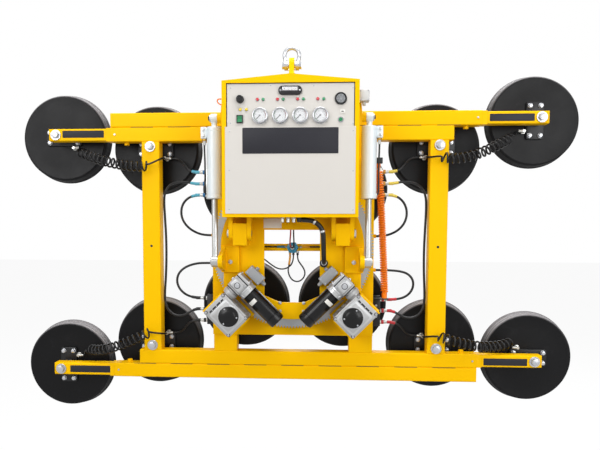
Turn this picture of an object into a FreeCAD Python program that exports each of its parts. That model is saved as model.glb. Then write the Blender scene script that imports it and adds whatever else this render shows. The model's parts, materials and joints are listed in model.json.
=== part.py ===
import FreeCAD
import Part
import math
import os
import re

# A powered vacuum lifter for glass panels. A headstock hangs from a bow shackle and holds the controls.
# Under it a frame of square tubes tilts on two pins, pushed by two cylinders, and turns on a slewing ring
# that two geared motors drive. Twelve round pads sit on the frame, four of them on telescopic arms.
# X runs along the beams, Y from the control panel to the pads, Z up. The origin is the lifting point.

SIZES = {
    # hanging point and the rotating frame of square tubes
    "lift_setback": 110, "tube_side": 60, "tube_wall": 4, "tube_round": 5,
    "beam_half": 775, "short_stub": 19, "beam_outer": 565, "collar_length": 20, "collar_step": 2,
    "column_inset": 170, "outer_column_width": 76,
    "inner_column_x": 288, "inner_column_width": 100, "column_wall": 4, "running_gap": 0.3,
    "fit_gap": 0.05, "bolt_gap": 0.25, "overrun": 5, "lock_boss_radius": 11, "lock_boss_length": 12,
    "lock_boss_inset": 60,
    # slewing ring, its plate and its pinions
    "rotor_plate_half_height": 371, "rotor_plate_thick": 15, "rotor_plate_bore": 250, "ring_thick": 30,
    "gear_module": 4, "ring_teeth": 166, "pinion_teeth": 16, "ring_bore": 285, "race_bore": 255,
    "bearing_gap": 5, "tooth_ease": 0.2, "pinion_inset": 3, "pinion_shaft_radius": 15, "drive_steps": 19.5,
    # tilt plate, its hinge and the levers of the cylinders
    "tilt_plate_thick": 15, "tilt_plate_radius": 296, "window_half": 115, "window_top": 74,
    "window_drop": 226, "window_foot": 50, "window_corner_drop": 198, "pivot_reach": 55, "pivot_rise": 60,
    "hinge_inset": 55, "hinge_block_width": 56, "hinge_block_top": 40, "hinge_block_drop": 48,
    "hinge_block_nose": 30, "hinge_pin_radius": 12, "hinge_pin_head": 18, "hinge_pin_head_length": 8,
    "ear_thick": 17, "ear_radius": 30, "lever_thick": 18, "lever_boss_radius": 26, "lever_foot": 75,
    "lever_foot_thick": 15, "lever_foot_drop": 48, "lever_foot_rise": 60,
    # headstock casing, its lug and its shackle
    "casing_gap": 15, "casing_depth": 160, "casing_rise": 123, "casing_height": 514, "casing_half": 260,
    "casing_wall": 5, "roof_rise": 24, "casing_frame": 17, "opening_sill": 17, "opening_head": 10,
    "panel_thick": 4, "panel_lap": 3, "panel_split": 341, "cover_thick": 3, "cover_lap": 4, "cover_gap": 0.5,
    "lug_rise": 61, "lug_thick": 20, "lug_width": 90, "lug_radius": 30, "shackle_pin_radius": 9.5,
    "shackle_bar_radius": 8,
    "shackle_jaw": 27, "shackle_bow": 43, "shackle_length": 60, "shackle_eye_radius": 19,
    "shackle_head_radius": 14, "shackle_head_length": 9, "gusset_reach": 14, "gusset_shoulder": 8,
    "gusset_depth": 50, "gusset_head": 8, "gusset_slope": 40, "gusset_rise": 25, "gusset_drop": 22,
    "gusset_foot": 45,
    # tilt cylinders
    "cylinder_offset": 44, "cylinder_lead": 30, "cylinder_pin_height": 389, "cylinder_pin_drop": 113,
    "barrel_radius": 30, "barrel_bore": 25, "barrel_head_drop": 35, "barrel_length": 281, "barrel_cap": 12,
    "rod_radius": 12, "rod_eye_radius": 22, "eye_width": 26, "neck_radius": 11, "top_eye_radius": 18,
    "cylinder_pin_radius": 10, "boss_radius": 19, "piston_height": 206, "piston_thick": 24,
    "valve_depth": 22, "valve_width": 30, "valve_length": 45, "pin_cap_radius": 14, "pin_cap_length": 5,
    # drive units: worm gearbox, first stage, motor and cap
    "mount_thick": 12, "mount_margin": 8, "cheek_thick": 6, "cheek_drop": 12,
    "gearbox_back": 83, "gearbox_front": 60, "gearbox_low": 62,
    "gearbox_high": 52, "gearbox_depth": 113, "gearbox_cap_radius": 38, "gearbox_cap_length": 14,
    "neck_reach": 30, "stage_back": 95, "stage_front": 32, "stage_half": 34, "stage_neck_radius": 27,
    "motor_offset": 116, "flange_radius": 38, "flange_length": 24, "motor_radius": 34, "motor_length": 164,
    "motor_depth": 50,
    # limit switches on the tilt plate
    "switch_x": 150, "switch_drop": 112, "switch_length": 76, "switch_width": 40, "switch_depth": 38,
    "switch_gland_radius": 9, "switch_gland_length": 20,
    # vacuum pads
    "pad_gap": 19, "arm_tip": 30, "arm_length": 1000, "arm_wall": 4, "fixed_pad_z": 424,
    "inner_pad_x": 214, "inner_pad_z": 252, "pad_face_radius": 185, "pad_rim_radius": 195,
    "pad_disc_thick": 30, "pad_seal_thick": 25, "pad_seal_bore": 160, "pad_standoff": 35,
    "bridge_long": 156, "bridge_wide": 72, "bridge_thick": 10, "pad_bolt_long": 124, "pad_bolt_wide": 44,
    "pad_bolt_radius": 9, "pad_bolt_head": 8, "pad_washer_radius": 10, "pad_washer_thick": 2,
    "hub_radius": 25, "spindle_radius": 12, "spindle_washer_radius": 22, "spindle_washer_thick": 5,
    "spindle_head_radius": 16, "spindle_head_length": 11, "inner_plate_thick": 12, "inner_plate_half": 50,
    "inner_plate_reach": 36, "elbow_inset": 48, "elbow_drop": 45, "elbow_reach": 20, "elbow_radius": 7,
    "barb_radius": 5, "barb_length": 22, "tee_inset": 48, "tee_drop": 42, "tee_reach": 45,
    # vacuum distribution on the rotating frame
    "manifold_depth": 34, "manifold_width": 30, "manifold_set": 26, "manifold_top": 335,
    "manifold_length": 130, "port_radius": 7, "port_length": 23, "port_high": 319, "port_mid": 270,
    "port_low": 222, "stub_radius": 8, "stub_length": 14, "feed_set": 40, "feed_high_left": 50,
    "feed_low_left": 70, "feed_high_right": 48, "feed_low_right": 96, "union_bar_half": 15,
    "union_bar_depth": 30, "union_radius": 21, "union_length": 28, "union_hub_radius": 12,
    "union_hub_length": 8, "union_port_radius": 5, "union_port_drop": 32, "column_stub_drop": 22,
    "curl_block_depth": 24, "curl_block_set": 6, "curl_block_height": 24, "curl_block_top": 350,
    "curl_block_low": 212, "curl_block_reach": 34, "curl_low_reach": 66,
    # instruments on the control panel, measured from the casing's base and middle
    "gauge_pitch_share": 0.3128, "gauge_height": 382, "gauge_radius": 31, "gauge_depth": 16, "gauge_rim": 3.5,
    "gauge_recess": 7, "gauge_lens_thick": 1.5, "gauge_stub_radius": 8, "gauge_stub_length": 24,
    "needle_post_radius": 1, "needle_hub_radius": 3, "needle_thick": 1.2, "needle_length": 20,
    "needle_width": 2.4, "needle_lift": 1.5, "needle_rest": 45, "lamp_radius": 6, "lamp_depth": 6,
    "lamp_height": 443,
    "lamp_left": 10, "lamp_right": 12, "amber_height": 406, "amber_outer_share": 0.778,
    "amber_inner_share": 0.683,
    "sounder_share": 0.782, "sounder_height": 444, "sounder_radius": 15, "sounder_depth": 20, "horn_radius": 23,
    "horn_depth": 7, "meter_height": 475, "meter_half": 45, "meter_radius": 17, "meter_depth": 8,
    "rocker_share": 0.786, "rocker_height": 370, "rocker_half_width": 9, "rocker_half_height": 12,
    "rocker_bezel": 3, "rocker_depth": 6, "rocker_axle": 2, "button_height": 366, "button_radius": 8,
    "button_depth": 7, "button_collar": 3, "button_stem": 4, "button_travel": 3,
    # what the headstock holds inside and under it
    "receiver_width": 38, "receiver_depth": 45, "receiver_height": 42, "receiver_rise": 437,
    "receiver_set": 15, "gland_radius": 8, "gland_length": 15, "battery_share": 0.34, "battery_depth": 120,
    "battery_height": 160, "battery_inset": 20, "battery_terminal_radius": 9, "battery_terminal_length": 14,
    "pump_share": 0.26, "pump_radius": 45, "pump_head_share": 0.11, "pump_head_half": 55, "pump_foot": 20,
    "tank_share": 0.28, "tank_depth": 110, "tank_height": 110, "power_motor_radius": 45,
    "power_motor_height": 120, "elbow_row_x": 45, "elbow_row_y": 40, "elbow_row_pitch": 22,
    "row_elbow_radius": 7, "row_elbow_drop": 20, "conduit_elbow_radius": 10, "conduit_gland_radius": 17,
    "conduit_gland_length": 15, "conduit_gland_x": 131, "conduit_gland_drop": 62,
    # hoses
    "feed_hose": 10, "pad_hose": 8, "coil_hose": 8, "coil_outer": 46, "curl_hose": 8, "curl_outer": 36,
    "union_hose": 6, "conduit": 19, "hose_lead": 27,
}

PLACES = {
    "shackle_pin_z": "-shackle_length", "ridge_z": "shackle_pin_z - lug_rise",
    "casing_top": "ridge_z - roof_rise", "casing_base": "casing_top - casing_height",
    "slew_z": "casing_base - casing_rise", "beam_front": "lift_setback", "beam_back": "beam_front + tube_side",
    "plate_front": "beam_front - rotor_plate_thick", "ring_front": "plate_front - ring_thick",
    "tilt_back": "ring_front - bearing_gap", "tilt_front": "tilt_back - tilt_plate_thick",
    "pivot_y": "tilt_front - pivot_reach", "pivot_z": "slew_z + pivot_rise",
    "casing_back": "tilt_front - casing_gap", "casing_front": "casing_back - casing_depth",
    "opening_half": "casing_half - casing_frame", "gauge_pitch": "opening_half * gauge_pitch_share",
    "sounder_x": "opening_half * sounder_share", "rocker_x": "opening_half * rocker_share",
    "amber_outer": "opening_half * amber_outer_share", "amber_inner": "opening_half * amber_inner_share",
    "outer_column_x": "beam_half - column_inset",
    "beam_short": "outer_column_x + outer_column_width / 2 + short_stub",
    "pad_reach": "outer_column_x + 2 * pad_rim_radius + pad_gap", "hinge_x": "casing_half - hinge_inset",
    "cylinder_x": "casing_half + cylinder_offset", "outfit_length": "2 * casing_half - 3 * battery_inset",
    "battery_length": "outfit_length * battery_share",
    "pump_length": "outfit_length * pump_share", "pump_head": "outfit_length * pump_head_share",
    "tank_length": "outfit_length * tank_share", "casing_floor": "casing_base + casing_wall",
    "panel_front": "casing_front + casing_wall",
    "opening_low": "casing_base + opening_sill", "opening_high": "casing_top - opening_head",
    "panel_base": "casing_base + panel_split", "panel_half": "opening_half + panel_lap",
    "cylinder_y": "pivot_y - cylinder_lead", "cylinder_top": "casing_base + cylinder_pin_height",
    "cylinder_low": "pivot_z - cylinder_pin_drop", "eye_inner": "cylinder_x - eye_width / 2",
    "eye_outer": "cylinder_x + eye_width / 2", "barrel_head": "cylinder_top - barrel_head_drop",
    "barrel_foot": "barrel_head - barrel_length", "pad_front": "beam_back + pad_standoff",
    "pad_mid_radius": "(pad_face_radius + pad_rim_radius) / 2", "seal_front": "pad_front + pad_disc_thick",
    "seal_back": "seal_front + pad_seal_thick", "bridge_front": "pad_front - bridge_thick",
    "elbow_y": "pad_front - elbow_reach", "arm_half": "tube_side / 2 - tube_wall - running_gap",
    "arm_front": "beam_front + tube_wall + running_gap", "arm_back": "arm_front + 2 * arm_half",
    "tube_high": "beam_outer - tube_side / 2", "tube_low": "beam_outer - tube_side * 3 / 2",
    "column_half": "beam_outer - 2 * tube_side", "inner_side": "inner_column_x + inner_column_width / 2",
    "inner_face": "inner_column_x - inner_column_width / 2",
    "manifold_y": "beam_front + manifold_set + manifold_width / 2",
    "manifold_face": "inner_side + manifold_depth", "port_end": "manifold_face + port_length",
    "ring_radius": "gear_module * ring_teeth / 2", "pinion_radius": "gear_module * pinion_teeth / 2",
    "drive_radius": "ring_radius + pinion_radius", "drive_turn": "360 / ring_teeth * drive_steps",
    "pinion_front": "ring_front + pinion_inset / 2", "pinion_back": "plate_front - pinion_inset",
    "mount_front": "tilt_front - mount_thick", "gearbox_face": "mount_front - gearbox_depth",
    "gauge_front": "panel_front - gauge_depth",
    "dial_y": "gauge_front + gauge_recess", "gauge_z": "casing_base + gauge_height",
    "rocker_z": "casing_base + rocker_height", "button_z": "casing_base + button_height",
    "row_elbow_y": "casing_front + elbow_row_y", "row_elbow_z": "casing_base - row_elbow_drop",
}

SIDES = {"left": "-1", "right": "1"}
# each arm: its side, the beam it is in (1 upper, -1 lower) and the tube of that beam
CORNERS = {
    "tl": ("left", "1", "tube_low"), "tr": ("right", "1", "tube_high"),
    "bl": ("left", "-1", "tube_high"), "br": ("right", "-1", "tube_low"),
}

doc = FreeCAD.newDocument("panel_lifter")
owner = {}


def make_sheet(name, rows):
    """A spreadsheet with one aliased cell for each named row."""
    sheet = doc.addObject("Spreadsheet::Sheet", name)
    for line, (alias, value) in enumerate(rows.items(), start=1):
        sheet.set(f"A{line}", alias)
        sheet.set(f"B{line}", linked(value, "=") if isinstance(value, str) else str(value))
        sheet.setAlias(f"B{line}", alias)
        owner[alias] = name
    return sheet


def linked(formula, lead=""):
    """A formula in named sizes as an expression that reads the spreadsheets' cells."""
    return lead + re.sub(
        r"[a-z_]+", lambda word: f"{owner[word.group()]}.{word.group()}", str(formula)
    )


sizes = make_sheet("sizes", SIZES)
places = make_sheet("places", PLACES)
doc.recompute()
size = {alias: float(doc.getObject(sheet).get(alias)) for alias, sheet in owner.items()}

TURNS = {
    "x": FreeCAD.Rotation(FreeCAD.Vector(0, 1, 0), 90),
    "y": FreeCAD.Rotation(FreeCAD.Vector(1, 0, 0), -90),
    "z": FreeCAD.Rotation(),
}


def bind(item, **formulas):
    for name, formula in formulas.items():
        item.setExpression(name, linked(formula))
    return item


def place(item, x, y, z):
    for axis, formula in zip("xyz", (x, y, z)):
        item.setExpression(f"Placement.Base.{axis}", linked(formula))
    return item


def block(name, x, y, z):
    """A box between two places on each axis."""
    solid = doc.addObject("Part::Box", name)
    spans = zip(("Length", "Width", "Height"), (x, y, z))
    bind(solid, **{side: f"({high}) - ({low})" for side, (low, high) in spans})
    return place(solid, x[0], y[0], z[0])


def along(solid, axis, span, at):
    """Lays a round solid along an axis from span's start, at its two other places in X, Y, Z order."""
    solid.Placement = FreeCAD.Placement(FreeCAD.Vector(), TURNS[axis])
    bind(solid, Height=f"({span[1]}) - ({span[0]})")
    start = list(at)
    start.insert("xyz".index(axis), span[0])
    return place(solid, *start)


def rod(name, axis, radius, span, at):
    return along(bind(doc.addObject("Part::Cylinder", name), Radius=radius), axis, span, at)


def cone(name, axis, radii, span, at):
    solid = bind(doc.addObject("Part::Cone", name), Radius1=radii[0], Radius2=radii[1])
    return along(solid, axis, span, at)


def hexagon(name, axis, radius, span, at):
    solid = doc.addObject("Part::Prism", name)
    solid.Polygon = 6
    return along(bind(solid, Circumradius=radius), axis, span, at)


def fuse(name, *pieces):
    solid = doc.addObject("Part::MultiFuse", name)
    solid.Shapes = pieces
    solid.Refine = True
    return solid


def cut(name, base, *tools):
    solid = doc.addObject("Part::Cut", name)
    solid.Base = base
    solid.Tool = tools[0] if len(tools) == 1 else fuse(f"{name}_cuts", *tools)
    return solid


def group(name, *pieces):
    """Separate solids that share one node."""
    solid = doc.addObject("Part::Compound", name)
    solid.Links = pieces
    return solid


def mirrored(name, piece):
    """The same piece on the other side of the middle plane."""
    solid = doc.addObject("Part::Mirroring", name)
    solid.Source = piece
    solid.Normal = FreeCAD.Vector(1, 0, 0)
    return solid


def shaped(name, shape):
    solid = doc.addObject("Part::Feature", name)
    solid.Shape = shape
    return solid


def softened(name, solid, axis):
    """The solid with its edges along one axis rounded as rolled tube is."""
    solid.recompute()
    line = TURNS[axis].multVec(FreeCAD.Vector(0, 0, 1))
    rounded = doc.addObject("Part::Fillet", name)
    rounded.Base = solid
    radius = size["tube_round"]
    rounded.Edges = [
        (number, radius, radius)
        for number, edge in enumerate(solid.Shape.Edges, start=1)
        if abs(edge.tangentAt(edge.FirstParameter).dot(line)) > 1 - 1e-6
    ]
    return rounded


def reach(side, start, length):
    """The span from start by a length, towards -X on the left and +X on the right, in rising order."""
    if side == "left":
        return f"{start} - {length}", start
    return start, f"{start} + {length}"


def inward(side):
    return "right" if side == "left" else "left"


def about(middle, half):
    return f"{middle} - {half}", f"{middle} + {half}"


def point(x, y, z):
    """A point given from the slewing axis and the beams' front, in the part's own frame."""
    return FreeCAD.Vector(x, size["beam_front"] + y, size["slew_z"] + z)


def outline_plate(name, corners, axis, depth):
    """A flat plate: a closed outline of corner points, pushed along one axis."""
    face = Part.Face(Part.makePolygon(corners + corners[:1]))
    return shaped(name, face.extrude(TURNS[axis].multVec(FreeCAD.Vector(0, 0, depth))))


# Rotating frame


def tube(name, x, z, open_side):
    """A square tube along X, with a slightly smaller collar on the end where its arm comes out."""
    outer = block(f"{name}_outer", x, ("beam_front", "beam_back"), z)
    end = x[0] if open_side == "left" else x[1]
    collar = block(
        f"{name}_collar", reach(open_side, end, "collar_length"),
        ("beam_front + collar_step", "beam_back - collar_step"),
        (f"{z[0]} + collar_step", f"{z[1]} - collar_step"),
    )
    bore_x = (f"{x[0]} - 2 * collar_length", f"{x[1]} + 2 * collar_length")
    bore = block(
        f"{name}_bore", bore_x, ("beam_front + tube_wall", "beam_back - tube_wall"),
        (f"{z[0]} + tube_wall", f"{z[1]} - tube_wall"),
    )
    return cut(name, fuse(f"{name}_solid", softened(f"{name}_skin", outer, "x"), collar), bore)


def make_beam(name, level, high_side, low_side):
    """Two tubes, one on the other, each with the head of its arm's locking screw near its open end.

    The tube nearer the middle stops short on the side where the other one's arm comes out.
    """
    pieces = []
    for row, side in (("tube_high", high_side), ("tube_low", low_side)):
        middle = f"slew_z + {level} * {row}"
        ends = {"left": "-beam_half", "right": "beam_half"}
        if row == "tube_low":
            ends[high_side] = f"{SIDES[high_side]} * beam_short"
        span = about(middle, "tube_side / 2")
        pieces.append(tube(f"{name}_{row}", (ends["left"], ends["right"]), span, side))
        inner = f"{middle} - {level} * tube_side / 2"
        lock_z = (inner, f"{inner} + lock_boss_length")
        if level == "1":
            lock_z = (f"{inner} - lock_boss_length", inner)
        spot = (f"{SIDES[side]} * (beam_half - lock_boss_inset)", "beam_front + tube_side / 2")
        pieces.append(hexagon(f"{name}_{row}_lock", "z", "lock_boss_radius", lock_z, spot))
    return group(name, *pieces)


def upright(name, x, width):
    """A rectangular tube between the two beams."""
    z = about("slew_z", "column_half")
    outer = block(f"{name}_outer", about(x, f"{width} / 2"), ("beam_front", "beam_back"), z)
    bore = block(
        f"{name}_bore", about(x, f"({width} / 2 - column_wall)"),
        ("beam_front + column_wall", "beam_back - column_wall"),
        (f"{z[0]} - overrun", f"{z[1]} + overrun"),
    )
    return cut(f"{name}_tube", softened(f"{name}_skin", outer, "z"), bore)


def spindle_hole(name, x, z):
    reach_y = ("beam_front - overrun", "beam_back + pad_standoff")
    return rod(name, "y", "spindle_radius + bolt_gap", reach_y, (x, z))


def make_outer_columns():
    pieces = []
    for side, sign in SIDES.items():
        name = f"outer_column_{side}"
        x = f"{sign} * outer_column_x"
        holes = [
            spindle_hole(f"{name}_hole_{row}", x, f"slew_z + {level} * fixed_pad_z")
            for row, level in (("top", "1"), ("low", "-1"))
        ]
        pieces.append(cut(name, upright(name, x, "outer_column_width"), *holes))
    return group("outer_columns", *pieces)


def make_inner_columns():
    """The two middle columns with the plates that carry the inner pads and the studs of the feed hoses."""
    pieces = []
    for side, sign in SIDES.items():
        name = f"inner_column_{side}"
        x = f"{sign} * inner_column_x"
        pieces.append(upright(name, x, "inner_column_width"))
        for row, level in (("top", "1"), ("low", "-1")):
            z = f"slew_z + {level} * inner_pad_z"
            far = f"{sign} * inner_side"
            near = f"{sign} * (inner_pad_x - inner_plate_reach)"
            plate = block(
                f"{name}_plate_{row}_blank", (near, far) if side == "right" else (far, near),
                ("beam_back", "beam_back + inner_plate_thick"), about(z, "inner_plate_half"),
            )
            hole = spindle_hole(f"{name}_hole_{row}", f"{sign} * inner_pad_x", z)
            pieces.append(cut(f"{name}_plate_{row}", plate, hole))
            level_name = f"feed_{'high' if row == 'top' else 'low'}_{side}"
            spot = ("beam_front + feed_set", f"slew_z + {level} * {level_name}")
            span = reach(side, f"{sign} * inner_side", "stub_length")
            pieces.append(hexagon(f"{name}_stub_{row}", "x", "stub_radius", span, spot))
    return group("inner_columns", *pieces)


def make_rotor_plate():
    plate = block(
        "rotor_blank", ("-inner_side", "inner_side"), ("plate_front", "beam_front"),
        about("slew_z", "rotor_plate_half_height"),
    )
    through = ("plate_front - overrun", "beam_front + overrun")
    hole = rod("rotor_hole", "y", "rotor_plate_bore", through, ("0", "slew_z"))
    return cut("rotor_plate", plate, hole)


# Slewing ring and its drive


def involute(angle):
    return math.tan(angle) - angle


def gear_face(teeth, tooth_angle):
    """A toothed outline in the XZ plane with one tooth centred on tooth_angle, in radians."""
    module = size["gear_module"]
    pitch = module * teeth / 2
    pressure = math.radians(20)
    base = pitch * math.cos(pressure)
    flank = []
    for radius in (pitch - 1.25 * module, pitch, pitch + module):
        lean = involute(math.acos(base / radius)) if radius > base else 0
        half = math.pi / (2 * teeth) + involute(pressure) - lean - size["tooth_ease"] / radius
        flank.append((radius, half))
    points = []
    for tooth in range(teeth):
        middle = tooth_angle + math.tau * tooth / teeth
        turns = [(radius, middle - half) for radius, half in flank]
        turns += [(radius, middle + half) for radius, half in reversed(flank)]
        points += [FreeCAD.Vector(r * math.cos(a), 0, r * math.sin(a)) for r, a in turns]
    return Part.Face(Part.makePolygon(points + points[:1]))


def make_ring_gear():
    """The toothed outer ring, with a many-sided bore that clears the race."""
    sides = int(size["ring_teeth"])
    corner = size["ring_bore"] / math.cos(math.pi / sides)
    angles = [math.tau * n / sides for n in range(sides)]
    bore = [FreeCAD.Vector(corner * math.cos(a), 0, corner * math.sin(a)) for a in angles]
    face = gear_face(sides, -math.pi / 2).cut(Part.Face(Part.makePolygon(bore + bore[:1])))
    ring = shaped("ring_gear", face.extrude(FreeCAD.Vector(0, size["ring_thick"], 0)))
    ring.Placement.Base = FreeCAD.Vector(0, size["ring_front"], size["slew_z"])
    return ring


def drive_axis():
    """Where the right pinion's axis is, from the slewing axis."""
    turn = math.radians(size["drive_turn"])
    return size["drive_radius"] * math.sin(turn), -size["drive_radius"] * math.cos(turn)


def make_pinion(name, sign):
    """A pinion on its shaft, which runs in the gearbox."""
    x, z = drive_axis()
    depth = size["pinion_back"] - size["pinion_front"]
    towards_ring = math.atan2(-z, -sign * x)
    teeth = gear_face(int(size["pinion_teeth"]), towards_ring).extrude(FreeCAD.Vector(0, depth, 0))
    shaft_length = size["pinion_front"] - size["gearbox_face"]
    shaft = Part.makeCylinder(
        size["pinion_shaft_radius"], shaft_length, FreeCAD.Vector(0, -shaft_length, 0),
        FreeCAD.Vector(0, 1, 0),
    )
    pinion = shaped(name, teeth.fuse(shaft).removeSplitter())
    pinion.Placement.Base = FreeCAD.Vector(sign * x, size["pinion_front"], size["slew_z"] + z)
    return pinion


def make_race():
    span = ("tilt_back", "plate_front - running_gap")
    outer = rod("race_outer", "y", "ring_bore - running_gap", span, ("0", "slew_z"))
    through = ("tilt_back - overrun", "plate_front + overrun")
    return cut("bearing_race", outer, rod("race_hole", "y", "race_bore", through, ("0", "slew_z")))


def turned_pair(name, piece):
    """A piece laid out along X on the left drive axis, turned down to 45 degrees, and its mirror image."""
    x, z = drive_axis()
    axis = FreeCAD.Vector(-x, 0, size["slew_z"] + z)
    turn = FreeCAD.Rotation(FreeCAD.Vector(0, 1, 0), 45)
    unit = doc.addObject("Part::Compound", f"{name}_left")
    unit.Links = [piece]
    unit.Placement = FreeCAD.Placement(axis, turn)
    return group(name, unit, mirrored(f"{name}_right", unit))


def make_drive_mounts():
    """Brackets of the gearboxes: a plate on the tilt plate with a cheek along two sides of the housing."""
    plate = block(
        "mount_blank", ("-gearbox_back - mount_margin", "gearbox_front + mount_margin"),
        ("mount_front", "tilt_front"), ("-gearbox_low - mount_margin", "gearbox_high + mount_margin"),
    )
    through = ("mount_front - overrun", "tilt_front + overrun")
    hole = rod("mount_hole", "y", "pinion_shaft_radius + bolt_gap", through, ("0", "0"))
    cheek_y = ("gearbox_face + cheek_drop", "mount_front")
    cheek_z = ("-gearbox_low", "gearbox_high - cheek_drop")
    back, front = "-gearbox_back - running_gap", "gearbox_front + running_gap"
    cheeks = [
        block("mount_cheek_back", (f"{back} - cheek_thick", back), cheek_y, cheek_z),
        block("mount_cheek_front", (front, f"{front} + cheek_thick"), cheek_y, cheek_z),
    ]
    return turned_pair("drive_mounts", cut("drive_mount", fuse("mount_bracket", plate, *cheeks), hole))


def make_gearboxes():
    """Worm gearboxes: the housing with the pinion's bore, the first stage on its neck, and the cover cap."""
    housing = block(
        "gearbox_housing", ("-gearbox_back", "gearbox_front"), ("gearbox_face", "mount_front"),
        ("-gearbox_low", "gearbox_high"),
    )
    through = ("gearbox_face - overrun", "mount_front + overrun")
    bore = rod("gearbox_bore", "y", "pinion_shaft_radius + fit_gap", through, ("0", "0"))
    middle_y = "mount_front - motor_depth"
    stage_x = ("-stage_back", "-stage_front")
    stage_z = about("motor_offset", "stage_half")
    stage = block("stage_housing", stage_x, about(middle_y, "stage_half"), stage_z)
    neck_x = "-(stage_back + stage_front) / 2"
    neck_z = ("gearbox_high - overrun", f"{stage_z[0]} + overrun")
    neck = rod("stage_neck", "z", "stage_neck_radius", neck_z, (neck_x, middle_y))
    body = cut("gearbox_body", fuse("gearbox_solid", housing, stage, neck), bore)
    cap_y = ("gearbox_face - gearbox_cap_length", "gearbox_face")
    cap = rod("gearbox_cap", "y", "gearbox_cap_radius", cap_y, ("0", "0"))
    return turned_pair("gearboxes", group("gearbox_unit", body, cap))


def make_drive_motors():
    spot = ("mount_front - motor_depth", "motor_offset")
    flange_end = "-stage_front + flange_length"
    flange = rod("motor_flange", "x", "flange_radius", ("-stage_front", flange_end), spot)
    body_span = (flange_end, f"{flange_end} + motor_length")
    body = rod("motor_body", "x", "motor_radius", body_span, spot)
    return turned_pair("drive_motors", group("motor_unit", flange, body))


# Tilt frame


def make_tilt_plate():
    """The round plate in front of the ring, with the window that shows the rotary union."""
    span = ("tilt_front", "tilt_back")
    disc = rod("tilt_disc", "y", "tilt_plate_radius", span, ("0", "slew_z"))
    half, foot = size["window_half"], size["window_foot"]
    corner, drop, top = size["window_corner_drop"], size["window_drop"], size["window_top"]
    y = size["tilt_front"] - size["overrun"]
    outline = [(-half, top), (-half, -corner), (-foot, -drop), (foot, -drop), (half, -corner), (half, top)]
    window = outline_plate(
        "tilt_window", [FreeCAD.Vector(x, y, size["slew_z"] + z) for x, z in outline], "y",
        size["tilt_plate_thick"] + 2 * size["overrun"],
    )
    gland_y = ("tilt_front - conduit_gland_length", "tilt_front")
    gland = rod(
        "conduit_gland", "y", "conduit_gland_radius", gland_y,
        ("conduit_gland_x", "slew_z - conduit_gland_drop"),
    )
    return group("tilt_plate", cut("tilt_plate_body", disc, window), gland)


def make_hinge_blocks():
    solid = block(
        "hinge_block_blank", about("-hinge_x", "hinge_block_width / 2"),
        ("pivot_y - hinge_block_nose", "tilt_front"),
        ("pivot_z - hinge_block_drop", "pivot_z + hinge_block_top"),
    )
    across = about("-hinge_x", "hinge_block_width")
    hole = rod("hinge_block_hole", "x", "hinge_pin_radius + fit_gap", across, ("pivot_y", "pivot_z"))
    left = cut("hinge_block_left", solid, hole)
    return group("hinge_blocks", left, mirrored("hinge_block_right", left))


def make_rod_brackets():
    """Levers that the cylinder rods push: a foot on the tilt plate, a tapered web and a round boss."""
    outer = "-eye_inner + running_gap"
    span = (outer, f"{outer} + lever_thick")
    spot = ("cylinder_y", "cylinder_low")
    boss = rod("lever_boss", "x", "lever_boss_radius", span, spot)
    radius = size["lever_boss_radius"]
    y, z, root = size["cylinder_y"], size["cylinder_low"], size["tilt_front"]
    corners = [
        (y, z + radius), (y, z - radius), (root, z - size["lever_foot_drop"]),
        (root, z + size["lever_foot_rise"]),
    ]
    x = -size["eye_inner"] + size["running_gap"]
    thick = size["lever_thick"]
    web = outline_plate("lever_web", [FreeCAD.Vector(x, *corner) for corner in corners], "x", thick)
    foot = block(
        "lever_foot_block", (outer, f"{outer} + lever_foot"), ("tilt_front - lever_foot_thick", "tilt_front"),
        ("cylinder_low - lever_foot_drop", "cylinder_low + lever_foot_rise"),
    )
    left = fuse("rod_bracket_left", boss, web, foot)
    return group("rod_brackets", left, mirrored("rod_bracket_right", left))


def make_limit_switches():
    body = block(
        "switch_body", ("-switch_length / 2", "switch_length / 2"), ("tilt_front - switch_depth", "tilt_front"),
        ("-switch_width / 2", "switch_width / 2"),
    )
    gland_x = ("switch_length / 2", "switch_length / 2 + switch_gland_length")
    gland = rod("switch_gland", "x", "switch_gland_radius", gland_x, ("tilt_front - switch_depth / 2", "0"))
    unit = fuse("switch_left", body, gland)
    unit.Placement = FreeCAD.Placement(
        FreeCAD.Vector(-size["switch_x"], 0, size["slew_z"] - size["switch_drop"]),
        FreeCAD.Rotation(FreeCAD.Vector(0, 1, 0), 45),
    )
    return group("limit_switches", unit, mirrored("switch_right", unit))


# Tilt cylinders


def make_barrel():
    """The left barrel: a closed tube with its top eye, its rod gland and the valve block on its side."""
    spot = ("-cylinder_x", "cylinder_y")
    body = rod("barrel_body", "z", "barrel_radius", ("barrel_foot", "barrel_head"), spot)
    neck = rod("barrel_neck", "z", "neck_radius", ("barrel_head - overrun", "cylinder_top"), spot)
    eye_x = about("-cylinder_x", "eye_width / 2")
    pivot = ("cylinder_y", "cylinder_top")
    eye = rod("barrel_eye", "x", "top_eye_radius", eye_x, pivot)
    edge = "-cylinder_x - barrel_radius"
    valve = block(
        "valve_block", (f"{edge} - valve_depth", f"{edge} + barrel_radius / 2"),
        about("cylinder_y", "valve_width / 2"), ("barrel_head - valve_length", "barrel_head"),
    )
    bore = rod(
        "barrel_hollow", "z", "barrel_bore", ("barrel_foot + barrel_cap", "barrel_head - barrel_cap"), spot
    )
    gland = rod(
        "barrel_gland", "z", "rod_radius + fit_gap", ("barrel_foot - overrun", "barrel_foot + barrel_length / 2"),
        spot,
    )
    hole_x = about("-cylinder_x", "eye_width")
    hole = rod("barrel_eye_hole", "x", "cylinder_pin_radius + fit_gap", hole_x, pivot)
    return cut("left_barrel", fuse("barrel_solid", body, neck, eye, valve), bore, gland, hole)


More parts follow.
